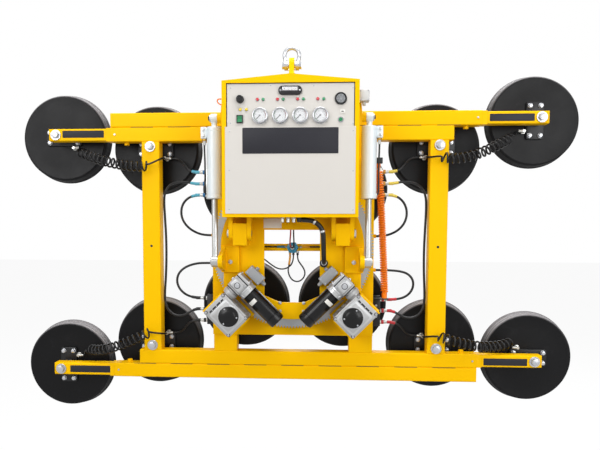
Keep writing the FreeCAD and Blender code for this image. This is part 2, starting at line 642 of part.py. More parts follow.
def make_rod():
    """The left piston rod with its piston, its lower eye and the pin that the eye carries."""
    spot = ("-cylinder_x", "cylinder_y")
    piston_z = "cylinder_top - piston_height"
    shaft = rod("rod_shaft", "z", "rod_radius", ("cylinder_low", piston_z), spot)
    piston = rod(
        "rod_piston", "z", "barrel_bore - running_gap", (f"{piston_z} - piston_thick", piston_z), spot
    )
    pivot = ("cylinder_y", "cylinder_low")
    eye = rod("rod_eye", "x", "rod_eye_radius", about("-cylinder_x", "eye_width / 2"), pivot)
    cap_x = ("-eye_outer - pin_cap_length", "-eye_outer")
    cap = rod("rod_pin_cap", "x", "pin_cap_radius", cap_x, pivot)
    return fuse("left_rod", shaft, piston, eye, cap)


# Headstock


def ear(name, x):
    """A hinge ear under the casing, rounded about the pin."""
    depth = about("pivot_y", "ear_radius")
    plate = block(f"{name}_plate", x, depth, ("pivot_z", "casing_base"))
    tip = rod(f"{name}_tip", "x", "ear_radius", x, ("pivot_y", "pivot_z"))
    hole_x = (f"{x[0]} - overrun", f"{x[1]} + overrun")
    hole = rod(f"{name}_hole", "x", "hinge_pin_radius + bolt_gap", hole_x, ("pivot_y", "pivot_z"))
    return cut(name, fuse(f"{name}_solid", plate, tip), hole)


def ear_edges():
    """The X spans of the two ears that hold the left hinge block."""
    near = "(hinge_block_width / 2 + running_gap)"
    outer = (f"-hinge_x - {near} - ear_thick", f"-hinge_x - {near}")
    inner = (f"-hinge_x + {near}", f"-hinge_x + {near} + ear_thick")
    return outer, inner


def make_gusset():
    """The tapered plate on the casing's left side that stiffens the cylinder's boss."""
    wall, top, pin = -size["casing_half"], size["casing_top"], size["cylinder_top"]
    y = size["cylinder_y"] - size["gusset_depth"] / 2
    far = wall - size["gusset_reach"]
    corners = [
        (wall, top - size["gusset_head"]), (wall - size["gusset_shoulder"], top - size["gusset_slope"]),
        (far, pin + size["gusset_rise"]), (far, pin - size["gusset_drop"]), (wall, pin - size["gusset_foot"]),
    ]
    spots = [FreeCAD.Vector(x, y, z) for x, z in corners]
    return outline_plate("gusset_left", spots, "y", size["gusset_depth"])


def make_casing():
    """The welded box with its framed front, its pitched roof, its cylinder bosses and the hinge ears."""
    shell = block(
        "casing_outer", ("-casing_half", "casing_half"), ("casing_front", "casing_back"),
        ("casing_base", "casing_top"),
    )
    hollow = block(
        "casing_hollow", about("0", "(casing_half - casing_wall)"),
        ("panel_front", "casing_back - casing_wall"), ("casing_floor", "casing_top - casing_wall"),
    )
    opening = block(
        "casing_opening", ("-opening_half", "opening_half"),
        ("casing_front - overrun", "panel_front + overrun"),
        ("opening_low", "opening_high"),
    )
    half, top, y = size["casing_half"], size["casing_top"], size["casing_front"]
    ridge = [(-half, top), (half, top), (0, size["ridge_z"])]
    roof = outline_plate(
        "casing_roof", [FreeCAD.Vector(x, y, z) for x, z in ridge], "y", size["casing_depth"]
    )
    body = fuse("casing_body", cut("casing_shell", shell, hollow, opening), roof)
    outer, inner = ear_edges()
    ears = group("ears_left", ear("ear_outer", outer), ear("ear_inner", inner))
    boss_x = ("-eye_inner + running_gap", "-casing_half")
    pivot = ("cylinder_y", "cylinder_top")
    boss = rod("boss_left", "x", "boss_radius", boss_x, pivot)
    hole_x = ("-eye_inner", "-casing_half + casing_wall")
    hole = rod("boss_hole", "x", "cylinder_pin_radius + bolt_gap", hole_x, pivot)
    gusset = make_gusset()
    both = [ears, mirrored("ears_right", ears), boss, mirrored("boss_right", boss)]
    both += [gusset, mirrored("gusset_right", gusset)]
    drilled = cut("casing_drilled", fuse("casing_welded", body, *both), hole, mirrored("boss_hole_right", hole))
    drilled.Label = "head_casing"
    return drilled


def make_lug():
    """The lifting plate on the roof, rounded about the shackle's pin."""
    x = ("-lug_thick / 2", "lug_thick / 2")
    foot_z = size["ridge_z"] - size["roof_rise"] * size["lug_thick"] / 2 / size["casing_half"]
    half = size["lug_width"] / 2
    pin_z, radius = size["shackle_pin_z"], size["lug_radius"]
    corners = [(-half, foot_z), (half, foot_z), (radius, pin_z), (-radius, pin_z)]
    left = -size["lug_thick"] / 2
    plate = outline_plate("lug_plate", [FreeCAD.Vector(left, *c) for c in corners], "x", size["lug_thick"])
    ridge_base = [(left, foot_z), (-left, foot_z), (0, size["ridge_z"])]
    notch = outline_plate(
        "lug_notch", [FreeCAD.Vector(x_end, -half, z) for x_end, z in ridge_base], "y", size["lug_width"]
    )
    tip = rod("lug_tip", "x", "lug_radius", x, ("0", "shackle_pin_z"))
    hole_x = ("-lug_thick", "lug_thick")
    hole = rod("lug_hole", "x", "shackle_pin_radius + fit_gap", hole_x, ("0", "shackle_pin_z"))
    return cut("lifting_lug", fuse("lug_solid", plate, tip), notch, hole)


def make_shackle_bow():
    """A round bar bent into a bow, with an eye at each end for the pin."""
    bar, bow = size["shackle_bar_radius"], size["shackle_bow"] / 2 + size["shackle_bar_radius"]
    jaw = size["shackle_jaw"] / 2 + bar
    pin_z, crown = size["shackle_pin_z"], bar
    widest = crown - bow
    vector = FreeCAD.Vector
    left_leg = Part.LineSegment(vector(-jaw, 0, pin_z), vector(-bow, 0, widest))
    arch = Part.Arc(vector(-bow, 0, widest), vector(0, 0, crown), vector(bow, 0, widest))
    right_leg = Part.LineSegment(vector(bow, 0, widest), vector(jaw, 0, pin_z))
    path = Part.Wire([line.toShape() for line in (left_leg, arch, right_leg)])
    start = left_leg.EndPoint - left_leg.StartPoint
    profile = Part.Wire(Part.makeCircle(bar, vector(-jaw, 0, pin_z), start))
    bent = shaped("shackle_bar", path.makePipeShell([profile], True, False, 2))
    eyes = []
    for side, sign in SIDES.items():
        x = about(f"{sign} * (shackle_jaw / 2 + shackle_bar_radius)", "shackle_bar_radius")
        eyes.append(rod(f"shackle_eye_{side}", "x", "shackle_eye_radius", x, ("0", "shackle_pin_z")))
    hole_x = about("0", "(shackle_jaw / 2 + 4 * shackle_bar_radius)")
    hole = rod("shackle_hole", "x", "shackle_pin_radius + bolt_gap", hole_x, ("0", "shackle_pin_z"))
    seats = []
    for side, sign in SIDES.items():
        x = reach(side, f"{sign} * (shackle_jaw / 2 + 2 * shackle_bar_radius)", "2 * shackle_head_length")
        radius = "shackle_head_radius + bolt_gap"
        seats.append(rod(f"shackle_seat_{side}", "x", radius, x, ("0", "shackle_pin_z")))
    return cut("shackle_bow", fuse("shackle_solid", bent, *eyes), hole, *seats)


def make_shackle_pin():
    reach_x = "(shackle_jaw / 2 + 2 * shackle_bar_radius)"
    at = ("0", "shackle_pin_z")
    shaft = rod("shackle_shaft", "x", "shackle_pin_radius", about("0", reach_x), at)
    ends = []
    for side, sign in SIDES.items():
        span = reach(side, f"{sign} * {reach_x}", "shackle_head_length")
        ends.append(hexagon(f"shackle_end_{side}", "x", "shackle_head_radius", span, at))
    return fuse("shackle_pin", shaft, *ends)


def make_tilt_pins():
    """The hinge pins in the ears and the cylinder pins in the casing's bosses."""
    outer, inner = ear_edges()
    pivot = ("pivot_y", "pivot_z")
    shaft = rod("hinge_shaft", "x", "hinge_pin_radius", (outer[0], inner[1]), pivot)
    head = rod("hinge_head", "x", "hinge_pin_head", (f"{outer[0]} - hinge_pin_head_length", outer[0]), pivot)
    hinge = fuse("hinge_pin_left", shaft, head)
    top = ("cylinder_y", "cylinder_top")
    cylinder_x = ("-eye_outer - running_gap", "-casing_half + casing_wall")
    stud = rod("cylinder_stud", "x", "cylinder_pin_radius", cylinder_x, top)
    cap_x = ("-eye_outer - running_gap - pin_cap_length", "-eye_outer - running_gap")
    cap = rod("cylinder_cap", "x", "pin_cap_radius", cap_x, top)
    cylinder = fuse("cylinder_pin_left", stud, cap)
    pieces = [hinge, mirrored("hinge_pin_right", hinge), cylinder, mirrored("cylinder_pin_right", cylinder)]
    return group("tilt_pins", *pieces)


def gauge_places():
    return {number: f"gauge_pitch * ({number} - 5 / 2)" for number in range(1, 5)}


def make_panel():
    """The instrument panel behind the casing's frame, drilled for the gauges and the button."""
    plate = block(
        "panel_blank", ("-panel_half", "panel_half"), ("panel_front", "panel_front + panel_thick"),
        ("panel_base", "opening_high + panel_lap"),
    )
    through = ("panel_front - overrun", "panel_front + panel_thick + overrun")
    holes = [
        rod(f"panel_hole_{number}", "y", "gauge_stub_radius + bolt_gap", through, (x, "gauge_z"))
        for number, x in gauge_places().items()
    ]
    stem = rod("panel_stem_hole", "y", "button_stem + fit_gap", through, ("sounder_x", "button_z"))
    drilled = cut("panel_plate", plate, *holes, stem)
    return group("control_panel", drilled, make_rocker_frame(), make_button_collar())


def make_cover():
    return block(
        "front_cover", about("0", "(opening_half + cover_lap)"), ("casing_front - cover_thick", "casing_front"),
        ("opening_low - cover_lap", "panel_base - cover_gap"),
    )


def make_gauges():
    """The gauge cases, each a shallow cup with a needle post, and the stub behind the panel."""
    cases, lenses = [], []
    for number, x in gauge_places().items():
        name = f"gauge_{number}"
        at = (x, "gauge_z")
        body = rod(f"{name}_body", "y", "gauge_radius", ("gauge_front", "panel_front"), at)
        cup = rod(f"{name}_cup", "y", "gauge_radius - gauge_rim", ("gauge_front - overrun", "dial_y"), at)
        post_y = ("gauge_front + gauge_lens_thick", "dial_y")
        post = rod(f"{name}_post", "y", "needle_post_radius", post_y, at)
        stub_y = ("panel_front", "panel_front + gauge_stub_length")
        stub = rod(f"{name}_stub", "y", "gauge_stub_radius", stub_y, at)
        cases.append(fuse(f"{name}_case", cut(f"{name}_shell", body, cup), post, stub))
        lens_y = ("gauge_front", "gauge_front + gauge_lens_thick")
        lenses.append(rod(f"{name}_lens", "y", "gauge_radius - gauge_rim - bolt_gap", lens_y, at))
    return group("gauge_cases", *cases), group("gauge_lenses", *lenses)


def make_needle(number, x):
    name = f"needle_{number}"
    span = ("dial_y - needle_lift - needle_thick", "dial_y - needle_lift")
    hub = rod(f"{name}_hub", "y", "needle_hub_radius", span, (x, "gauge_z"))
    hand = block(
        f"{name}_hand", about(x, "needle_width / 2"), span, ("gauge_z - needle_length", "gauge_z")
    )
    through = (f"{span[0]} - needle_thick", f"{span[1]} + needle_thick")
    hole = rod(f"{name}_hole", "y", "needle_post_radius + fit_gap", through, (x, "gauge_z"))
    needle = cut(name, fuse(f"{name}_solid", hub, hand), hole)
    middle = FreeCAD.Vector(size["gauge_pitch"] * (number - 2.5), 0, size["gauge_z"])
    rest = FreeCAD.Rotation(FreeCAD.Vector(0, 1, 0), size["needle_rest"])
    needle.Placement = FreeCAD.Placement(FreeCAD.Vector(), rest, middle)
    return needle


def make_lamps():
    """Red and green lamps over each gauge and two amber ones beside them."""
    span = ("panel_front - lamp_depth", "panel_front")
    spots = {f"amber_{row}": (f"-amber_{row}", "casing_base + amber_height") for row in ("outer", "inner")}
    for number, x in gauge_places().items():
        spots[f"red_{number}"] = (f"{x} - lamp_left", "casing_base + lamp_height")
        spots[f"green_{number}"] = (f"{x} + lamp_right", "casing_base + lamp_height")
    lamps = [
        cone(f"lamp_{name}", "y", ("lamp_radius * 3 / 4", "lamp_radius"), span, at)
        for name, at in spots.items()
    ]
    return group("status_lamps", *lamps)


def make_sounders():
    alarm_y = ("panel_front - sounder_depth", "panel_front")
    alarm = rod("alarm", "y", "sounder_radius", alarm_y, ("-sounder_x", "casing_base + sounder_height"))
    horn_y = ("panel_front - horn_depth", "panel_front")
    horn = rod("horn", "y", "horn_radius", horn_y, ("sounder_x", "casing_base + sounder_height"))
    return group("sounders", alarm, horn)


def make_meter():
    """The hour meter's case, a bar with round ends."""
    y = ("panel_front - meter_depth", "panel_front")
    z = "casing_base + meter_height"
    straight = "(meter_half - meter_radius)"
    middle = block("meter_middle", about("0", straight), y, about(z, "meter_radius"))
    ends = [
        rod(f"meter_end_{side}", "y", "meter_radius", y, (f"{sign} * {straight}", z))
        for side, sign in SIDES.items()
    ]
    return fuse("hour_meter", middle, *ends)


def make_rocker_frame():
    x, z = "-rocker_x", "rocker_z"
    y = ("panel_front - rocker_depth", "panel_front")
    frame = block(
        "rocker_frame_blank", about(x, "(rocker_half_width + rocker_bezel)"), y,
        about(z, "(rocker_half_height + rocker_bezel)"),
    )
    well = block(
        "rocker_well", about(x, "rocker_half_width"), (f"{y[0]} - overrun", y[1]),
        about(z, "rocker_half_height"),
    )
    axle_x = about(x, "(rocker_half_width + rocker_bezel / 2)")
    axle = rod("rocker_axle_hole", "x", "rocker_axle + fit_gap", axle_x, (y[0] + " + rocker_axle", z))
    return cut("rocker_frame", frame, well, axle)


def make_rocker():
    """The rocker, a shallow wedge on its own axle."""
    x, z = -size["rocker_x"], size["rocker_z"]
    tall = size["rocker_half_height"] - 2 * size["running_gap"]
    front = size["panel_front"] - size["rocker_depth"]
    axle_y = front + size["rocker_axle"]
    left = x - size["rocker_half_width"] + size["running_gap"]
    wide = 2 * (size["rocker_half_width"] - size["running_gap"])
    lift = size["rocker_axle"]
    corners = [
        (front - lift, z + tall), (front, z), (front - lift, z - tall), (axle_y + lift / 2, z - tall * 2 / 3),
        (axle_y + lift, z), (axle_y + lift / 2, z + tall * 2 / 3),
    ]
    wedge = outline_plate("rocker_wedge", [FreeCAD.Vector(left, *c) for c in corners], "x", wide)
    axle_x = about("-rocker_x", "(rocker_half_width + rocker_bezel / 2 - running_gap)")
    axle_at = ("panel_front - rocker_depth + rocker_axle", "rocker_z")
    return fuse("rocker_switch", wedge, rod("rocker_axle", "x", "rocker_axle", axle_x, axle_at))


def make_button():
    """A push button on a stem that slides in the panel."""
    at = ("sounder_x", "button_z")
    head_y = ("panel_front - button_depth", "panel_front - button_travel - running_gap")
    head = rod("button_head", "y", "button_radius - bolt_gap", head_y, at)
    stem_y = ("panel_front - button_depth", "panel_front + panel_thick + running_gap")
    return fuse("reset_button", head, rod("button_stem_rod", "y", "button_stem", stem_y, at))


def make_button_collar():
    at = ("sounder_x", "button_z")
    span = ("panel_front - button_collar", "panel_front")
    ring = rod("button_ring", "y", "button_radius + button_collar", span, at)
    through = (f"{span[0]} - overrun", f"{span[1]} + overrun")
    return cut("button_collar_ring", ring, rod("button_ring_hole", "y", "button_radius", through, at))


def make_receiver():
    """The remote control's receiver on the casing's right side, with its cable gland."""
    x = ("casing_half", "casing_half + receiver_width")
    y = ("casing_front + receiver_set", "casing_front + receiver_set + receiver_depth")
    z = ("casing_base + receiver_rise", "casing_base + receiver_rise + receiver_height")
    box = block("receiver_case", x, y, z)
    at = ("casing_half + receiver_width / 2", "casing_front + receiver_set + receiver_depth / 2")
    gland = rod("receiver_gland", "z", "gland_radius", (f"{z[0]} - gland_length", z[0]), at)
    return fuse("receiver_box", box, gland)


def make_battery():
    x = ("-casing_half + battery_inset", "-casing_half + battery_inset + battery_length")
    y = ("casing_back - battery_inset - battery_depth", "casing_back - battery_inset")
    z = ("casing_floor", "casing_floor + battery_height")
    case = block("battery_case", x, y, z)
    posts = [
        rod(
            f"battery_post_{side}", "z", "battery_terminal_radius",
            (z[1], f"{z[1]} + battery_terminal_length"),
            (f"{start} {step} battery_inset", "casing_back - battery_inset - battery_depth / 2"),
        )
        for side, start, step in (("left", x[0], "+"), ("right", x[1], "-"))
    ]
    return fuse("battery", case, *posts)


def make_pump():
    """The vacuum pump: motor and pump head on a foot."""
    start = "-casing_half + 2 * battery_inset + battery_length"
    middle_y = "casing_back - casing_depth / 2"
    axis_z = "casing_floor + pump_foot + pump_head_half"
    motor_x = (start, f"{start} + pump_length")
    motor = rod("pump_motor", "x", "pump_radius", motor_x, (middle_y, axis_z))
    head_x = (motor_x[1], f"{motor_x[1]} + pump_head")
    head = block(
        "pump_head_block", head_x, about(middle_y, "pump_head_half"), about(axis_z, "pump_head_half")
    )
    foot = block(
        "pump_base", (motor_x[0], head_x[1]), about(middle_y, "pump_head_half"),
        ("casing_floor", "casing_floor + pump_foot"),
    )
    return fuse("vacuum_pump", motor, head, foot)


def make_power_unit():
    """The hydraulic power unit: oil tank with its motor on top."""
    x = ("casing_half - battery_inset - tank_length", "casing_half - battery_inset")
    y = about("casing_back - casing_depth / 2", "tank_depth / 2")
    tank = block("oil_tank", x, y, ("casing_floor", "casing_floor + tank_height"))
    motor_z = ("casing_floor + tank_height", "casing_floor + tank_height + power_motor_height")
    at = ("casing_half - battery_inset - tank_length / 2", "casing_back - casing_depth / 2")
    return fuse("hydraulic_unit", tank, rod("power_motor", "z", "power_motor_radius", motor_z, at))


def make_port_elbows():
    """The row of hose elbows under the casing and the larger one that the conduit leaves."""
    pieces = []
    drop = ("row_elbow_z", "casing_base")
    for number in range(1, 4):
        x = f"elbow_row_x - conduit_elbow_radius - {number} * elbow_row_pitch"
        stem = rod(f"row_stem_{number}", "z", "row_elbow_radius", drop, (x, "row_elbow_y"))
        nose_y = ("row_elbow_y", "row_elbow_y + elbow_row_pitch")
        nose = rod(
            f"row_nose_{number}", "y", "row_elbow_radius * 2 / 3", nose_y,
            (x, "row_elbow_z + row_elbow_radius"),
        )
        pieces.append(fuse(f"row_elbow_{number}", stem, nose))
    stem_at = ("elbow_row_x - conduit_elbow_radius", "row_elbow_y")
    stem = rod("conduit_stem", "z", "conduit_elbow_radius", ("casing_base - conduit", "casing_base"), stem_at)
    nose_x = ("elbow_row_x - conduit_elbow_radius", "elbow_row_x")
    nose_at = ("row_elbow_y", "casing_base - conduit / 2")
    nose = rod("conduit_nose", "x", "conduit / 2", nose_x, nose_at)
    pieces.append(fuse("conduit_elbow", stem, nose))
    return group("port_elbows", *pieces)


# Vacuum pads


def hex_bolt(name, x, z):
    """A bolt head on a washer, in front of the pad's bridge."""
    washer_y = ("bridge_front - pad_washer_thick", "bridge_front")
    washer = rod(f"{name}_washer", "y", "pad_washer_radius", washer_y, (x, z))
    head_y = (f"{washer_y[0]} - pad_bolt_head", washer_y[0])
    return fuse(name, washer, hexagon(f"{name}_head", "y", "pad_bolt_radius", head_y, (x, z)))


def pad_unit(name, side, level, x, z, seat, upright_bridge, tee):
    """One pad: dished disc, rubber seal, bridge with four bolts, hub, spindle bolt and hose fitting.

    seat holds the Y of the front and back of the tube or plate that the spindle goes through.
    """
    at = (x, z)
    disc = cone(
        f"{name}_disc", "y", ("pad_face_radius", "pad_mid_radius"), ("pad_front", "seal_front"), at
    )
    rubber = cone(
        f"{name}_rubber", "y", ("pad_mid_radius", "pad_rim_radius"), ("seal_front", "seal_back"), at
    )
    bore_y = ("seal_front - overrun", "seal_back + overrun")
    seal = cut(f"{name}_seal", rubber, rod(f"{name}_seal_bore", "y", "pad_seal_bore", bore_y, at))
    spans = ("bridge_wide / 2", "bridge_long / 2") if upright_bridge else ("bridge_long / 2", "bridge_wide / 2")
    bridge = block(f"{name}_bridge", about(x, spans[0]), ("bridge_front", "pad_front"), about(z, spans[1]))
    hub = rod(f"{name}_hub", "y", "hub_radius", (seat[1], "bridge_front"), at)
    washer_y = (f"{seat[0]} - spindle_washer_thick", seat[0])
    head_y = (f"{washer_y[0]} - spindle_head_length", washer_y[0])
    spindle = fuse(
        f"{name}_spindle", rod(f"{name}_washer", "y", "spindle_washer_radius", washer_y, at),
        hexagon(f"{name}_nut", "y", "spindle_head_radius", head_y, at),
        rod(f"{name}_shaft", "y", "spindle_radius", (washer_y[0], seat[1]), at),
    )
    steps = ("pad_bolt_wide / 2", "pad_bolt_long / 2")
    step_x, step_z = steps if upright_bridge else reversed(steps)
    bolts = [
        hex_bolt(f"{name}_bolt_{a}{b}", f"{x} {'-+'[a]} {step_x}", f"{z} {'-+'[b]} {step_z}")
        for a in (0, 1) for b in (0, 1)
    ]
    kind = "tee" if tee else "elbow"
    fitting_x = f"{x} - {SIDES[side]} * {kind}_inset"
    fitting_z = f"{z} - {level} * {kind}_drop"
    stem_y = (f"pad_front - {kind}_reach - elbow_radius" if not tee else "pad_front - tee_reach", "pad_front")
    stem = rod(f"{name}_stem", "y", "elbow_radius", stem_y, (fitting_x, fitting_z))
    barb_x = reach(inward(side), fitting_x, "barb_length")
    barb = rod(f"{name}_barb", "x", "barb_radius", barb_x, ("elbow_y", fitting_z))
    return [disc, seal, bridge, hub, spindle, *bolts, fuse(f"{name}_fitting", stem, barb)]


def make_fixed_pads():
    """The eight pads on the columns: four at the outer columns' ends and four inner ones."""
    pieces = []
    for side, sign in SIDES.items():
        for row, level in (("top", "1"), ("low", "-1")):
            pieces += pad_unit(
                f"mid_{row}_{side}", side, level, f"{sign} * outer_column_x", f"slew_z + {level} * fixed_pad_z",
                ("beam_front", "beam_back"), False, True,
            )
            pieces += pad_unit(
                f"inner_{row}_{side}", side, level, f"{sign} * inner_pad_x", f"slew_z + {level} * inner_pad_z",
                ("beam_back", "beam_back + inner_plate_thick"), True, False,
            )
    return group("fixed_pads", *pieces)


def make_arm(corner):
    """A telescopic arm, a closed square tube that slides in its beam, and the pad on its tip."""
    side, level, row = CORNERS[corner]
    sign = SIDES[side]
    x, z = f"{sign} * pad_reach", f"slew_z + {level} * {row}"
    tip = f"{sign} * (pad_reach + arm_tip)"
    span = reach(inward(side), tip, "arm_length")
    skin = block(f"arm_{corner}_outer", span, ("arm_front", "arm_back"), about(z, "arm_half"))
    hollow = block(
        f"arm_{corner}_hollow", (f"{span[0]} + arm_wall", f"{span[1]} - arm_wall"),
        ("arm_front + arm_wall", "arm_back - arm_wall"), about(z, "(arm_half - arm_wall)"),
    )
    rounded = softened(f"arm_{corner}_skin", skin, "x")
    arm = cut(f"arm_{corner}", rounded, hollow, spindle_hole(f"arm_{corner}_hole", x, z))
    seat = ("arm_front", "arm_back")
    tall = corner in ("tr", "bl")
    pad = group(f"pad_{corner}", *pad_unit(f"outer_{corner}", side, level, x, z, seat, tall, False))
    return arm, pad


# Vacuum distribution and hoses


def make_manifolds():
    """A port block on each middle column's outer side, and the blocks that hold the curled line."""
    pieces = []
    for side, sign in SIDES.items():
        x = reach(side, f"{sign} * inner_side", "manifold_depth")
        y = ("beam_front + manifold_set", "beam_front + manifold_set + manifold_width")
        port_x = reach(side, f"{sign} * manifold_face", "port_length")
        for row, level in (("top", "1"), ("low", "-1")):
            ends = (f"slew_z + {level} * manifold_top", f"slew_z + {level} * (manifold_top - manifold_length)")
            body = block(f"manifold_{row}_{side}_body", x, y, ends if level == "-1" else ends[::-1])
            ports = [
                rod(
                    f"manifold_{row}_{side}_{port}", "x", "port_radius", port_x,
                    ("manifold_y", f"slew_z + {level} * {port}"),
                )
                for port in ("port_high", "port_mid", "port_low")
            ]
            pieces.append(fuse(f"manifold_{row}_{side}", body, *ports))
    y = about("beam_front + curl_block_set", "curl_block_depth / 2")
    upper = block(
        "curl_block_upper", ("inner_side", "inner_side + curl_block_reach"), y,
        ("slew_z + curl_block_top", "slew_z + curl_block_top + curl_block_height"),
    )
    lower = block(
        "curl_block_lower", ("inner_side", "inner_side + curl_low_reach"), y,
        ("slew_z - curl_block_low - curl_block_height", "slew_z - curl_block_low"),
    )
    return group("manifolds", *pieces, upper, lower)


def make_union():
    """The cross bar between the middle columns with the rotary union on it."""
    bar = block(
        "union_bar", ("-inner_face", "inner_face"), ("beam_front", "beam_front + union_bar_depth"),
        about("slew_z", "union_bar_half"),
    )
    body_y = ("beam_front - union_length", "beam_front")
    body = hexagon("union_body", "y", "union_radius", body_y, ("0", "slew_z"))
    hub_y = (f"{body_y[0]} - union_hub_length", body_y[0])
    hub = rod("union_hub", "y", "union_hub_radius", hub_y, ("0", "slew_z"))
    ports = [
        rod(
            f"union_port_{name}", "z", "union_port_radius", ("slew_z - union_port_drop", "slew_z"),
            (x, "beam_front - union_length / 2"),
        )
        for name, x in (
            ("left", "-union_radius / 2"), ("middle", "union_radius / 6"), ("right", "union_radius")
        )
    ]
    stub_x = ("-inner_face", "-inner_face + stub_radius")
    stub = hexagon(
        "column_stub", "x", "stub_radius", stub_x,
        ("beam_front + union_bar_depth", "slew_z - column_stub_drop"),
    )
    return group("rotary_union", bar, fuse("union_solid", body, hub, *ports), stub)


def hose(points, diameter):
    """A round hose along straight runs joined by tangent arcs, each as large as its runs allow."""
    runs = [after - before for before, after in zip(points, points[1:])]
    edges, here, radii = [], points[0], []
    for corner, before, after in zip(points[1:], runs, runs[1:]):
        half_turn = before.getAngle(after) / 2
        trim = 0.45 * min(before.Length, after.Length)
        radii.append(trim / math.tan(half_turn))
        into, out = before / before.Length, after / after.Length
        start, end = corner - into * trim, corner + out * trim
        middle = arc_middle(start, into, end)
        edges.append(Part.LineSegment(here, start).toShape())
        edges.append(Part.Arc(start, middle, end).toShape())
        here = end
    edges.append(Part.LineSegment(here, points[-1]).toShape())
    return sweep(edges, points[0], runs[0], diameter), min(radii)


def arc_middle(start, heading, end):
    """The middle of the arc that leaves start along heading and reaches end."""
    chord = end - start
    line = chord / chord.Length
    across = heading - line * heading.dot(line)
    if across.Length < 1e-9:
        return start + chord / 2
    bulge = chord.Length / 2 * math.tan(heading.getAngle(line) / 2)
    return start + chord / 2 + across / across.Length * bulge


def sweep(edges, start, heading, diameter):
    profile = Part.Wire(Part.makeCircle(diameter / 2, start, heading))
    return Part.Wire(edges).makePipeShell([profile], True, False)


def checked(name, tube, length, diameter):
    """Compares the tube's volume with its section times its length."""
    share = tube.Volume / (math.pi * diameter**2 / 4 * length)
    if abs(share - 1) > 0.01:
        raise ValueError(f"{name}: the swept tube holds {share:.3f} of its section times its length")
    return tube


def laid_hose(name, route, diameter):
    points = [point(*spot) for spot in route]
    tube, tightest = hose(points, diameter)
    print(f"{name}: least radius {tightest:.0f} mm, {tightest / diameter:.1f} diameters")
    return shaped(name, tube)


def feed_routes():
    """The loops from each port block's lowest port back to the column, and the long links beside the columns."""
    y, end, set_in = size["manifold_y"] - size["beam_front"], size["port_end"], size["feed_set"]
    stop = size["inner_side"] + size["stub_length"]
    out, back = end + size["hose_lead"], stop + size["hose_lead"]
    low, mid = size["port_low"], size["port_mid"]
    left_high, left_low = size["feed_high_left"], -size["feed_low_left"]
    right_high, right_low = size["feed_high_right"], -size["feed_low_right"]
    return {
        "feed_tl": [
            (-end, y, low), (-out, y, low), (-455, 37, 209), (-478, 32, 180), (-483, 29, 142),
            (-472, 28, 107), (-447, 30, 78), (-413, 37, 58), (-back, set_in, left_high),
            (-stop, set_in, left_high),
        ],
        "feed_bl": [
            (-end, y, -low), (-out, y, -low), (-458, 37, -213), (-488, 32, -190), (-504, 29, -156),
            (-499, 28, -120), (-475, 29, -93), (-443, 33, -78), (-411, 38, -71), (-back, set_in, left_low),
            (-stop, set_in, left_low),
        ],
        "feed_tr": [
            (end, y, low), (out, y, low), (454, 37, 206), (475, 33, 175), (480, 31, 139), (471, 31, 105),
            (448, 32, 76), (415, 37, 57), (back, set_in, right_high), (stop, set_in, right_high),
        ],
        "feed_br": [
            (end, y, -low), (out, y, -low), (462, 37, -217), (492, 33, -200), (510, 30, -171), (510, 29, -137),
            (489, 30, -111), (456, 33, -100), (418, 38, -97), (back, set_in, right_low),
            (stop, set_in, right_low),
        ],
        "link_left": [
            (-end, y, mid), (-out, y, mid), (-463, 36, 278), (-504, 31, 278), (-537, 28, 261),
            (-553, 28, 229), (-556, 30, 189), (-553, 32, 120), (-549, 33, 40), (-549, 33, -50),
            (-552, 32, -130), (-557, 30, -196), (-556, 28, -243), (-541, 27, -280), (-511, 28, -300),
            (-475, 31, -299), (-448, 37, -283), (-out, y, -mid), (-end, y, -mid),
        ],
        "link_right": [
            (end, y, mid), (out, y, mid), (466, 36, 278), (509, 31, 273), (542, 28, 250), (557, 28, 213),
            (559, 30, 160), (556, 32, 80), (553, 33, -10), (554, 33, -100), (558, 31, -178), (558, 28, -236),
            (545, 27, -275), (516, 28, -299), (478, 31, -299), (449, 37, -283), (out, y, -mid), (end, y, -mid),
        ],
    }


def union_routes():
    """The loops that hang from the union and turn with it."""
    port_y, port_z = -size["union_length"] / 2, -size["union_port_drop"]
    below = port_z - size["hose_lead"] / 3 * 2
    left, middle, right = -size["union_radius"] / 2, size["union_radius"] / 6, size["union_radius"]
    stub, stub_y = -size["inner_face"] + size["stub_radius"], size["union_bar_depth"]
    stub_z = -size["column_stub_drop"]
    return {
        "union_loop": [
            (left, port_y, port_z), (left, port_y, below), (-15, -19, -72), (-19, -23, -97), (-12, -24, -122),
            (4, -24, -140), (27, -24, -143), (46, -23, -129), (54, -21, -107), (47, -19, -86), (33, -16, -68),
            (right, port_y, below), (right, port_y, port_z),
        ],
        "union_branch": [
            (middle, port_y, port_z), (middle, port_y, below), (-6, -11, -75), (-30, -8, -91), (-62, -5, -91),
            (-93, 0, -72), (-122, 7, -49), (-152, 16, -33), (-180, 25, -24),
            (stub + size["hose_lead"], stub_y, stub_z), (stub, stub_y, stub_z),
        ],
    }


def make_feed_hoses():
    hoses = [laid_hose(name, route, size["feed_hose"]) for name, route in feed_routes().items()]
    hoses += [laid_hose(name, route, size["union_hose"]) for name, route in union_routes().items()]
    return group("feed_hoses", *hoses)


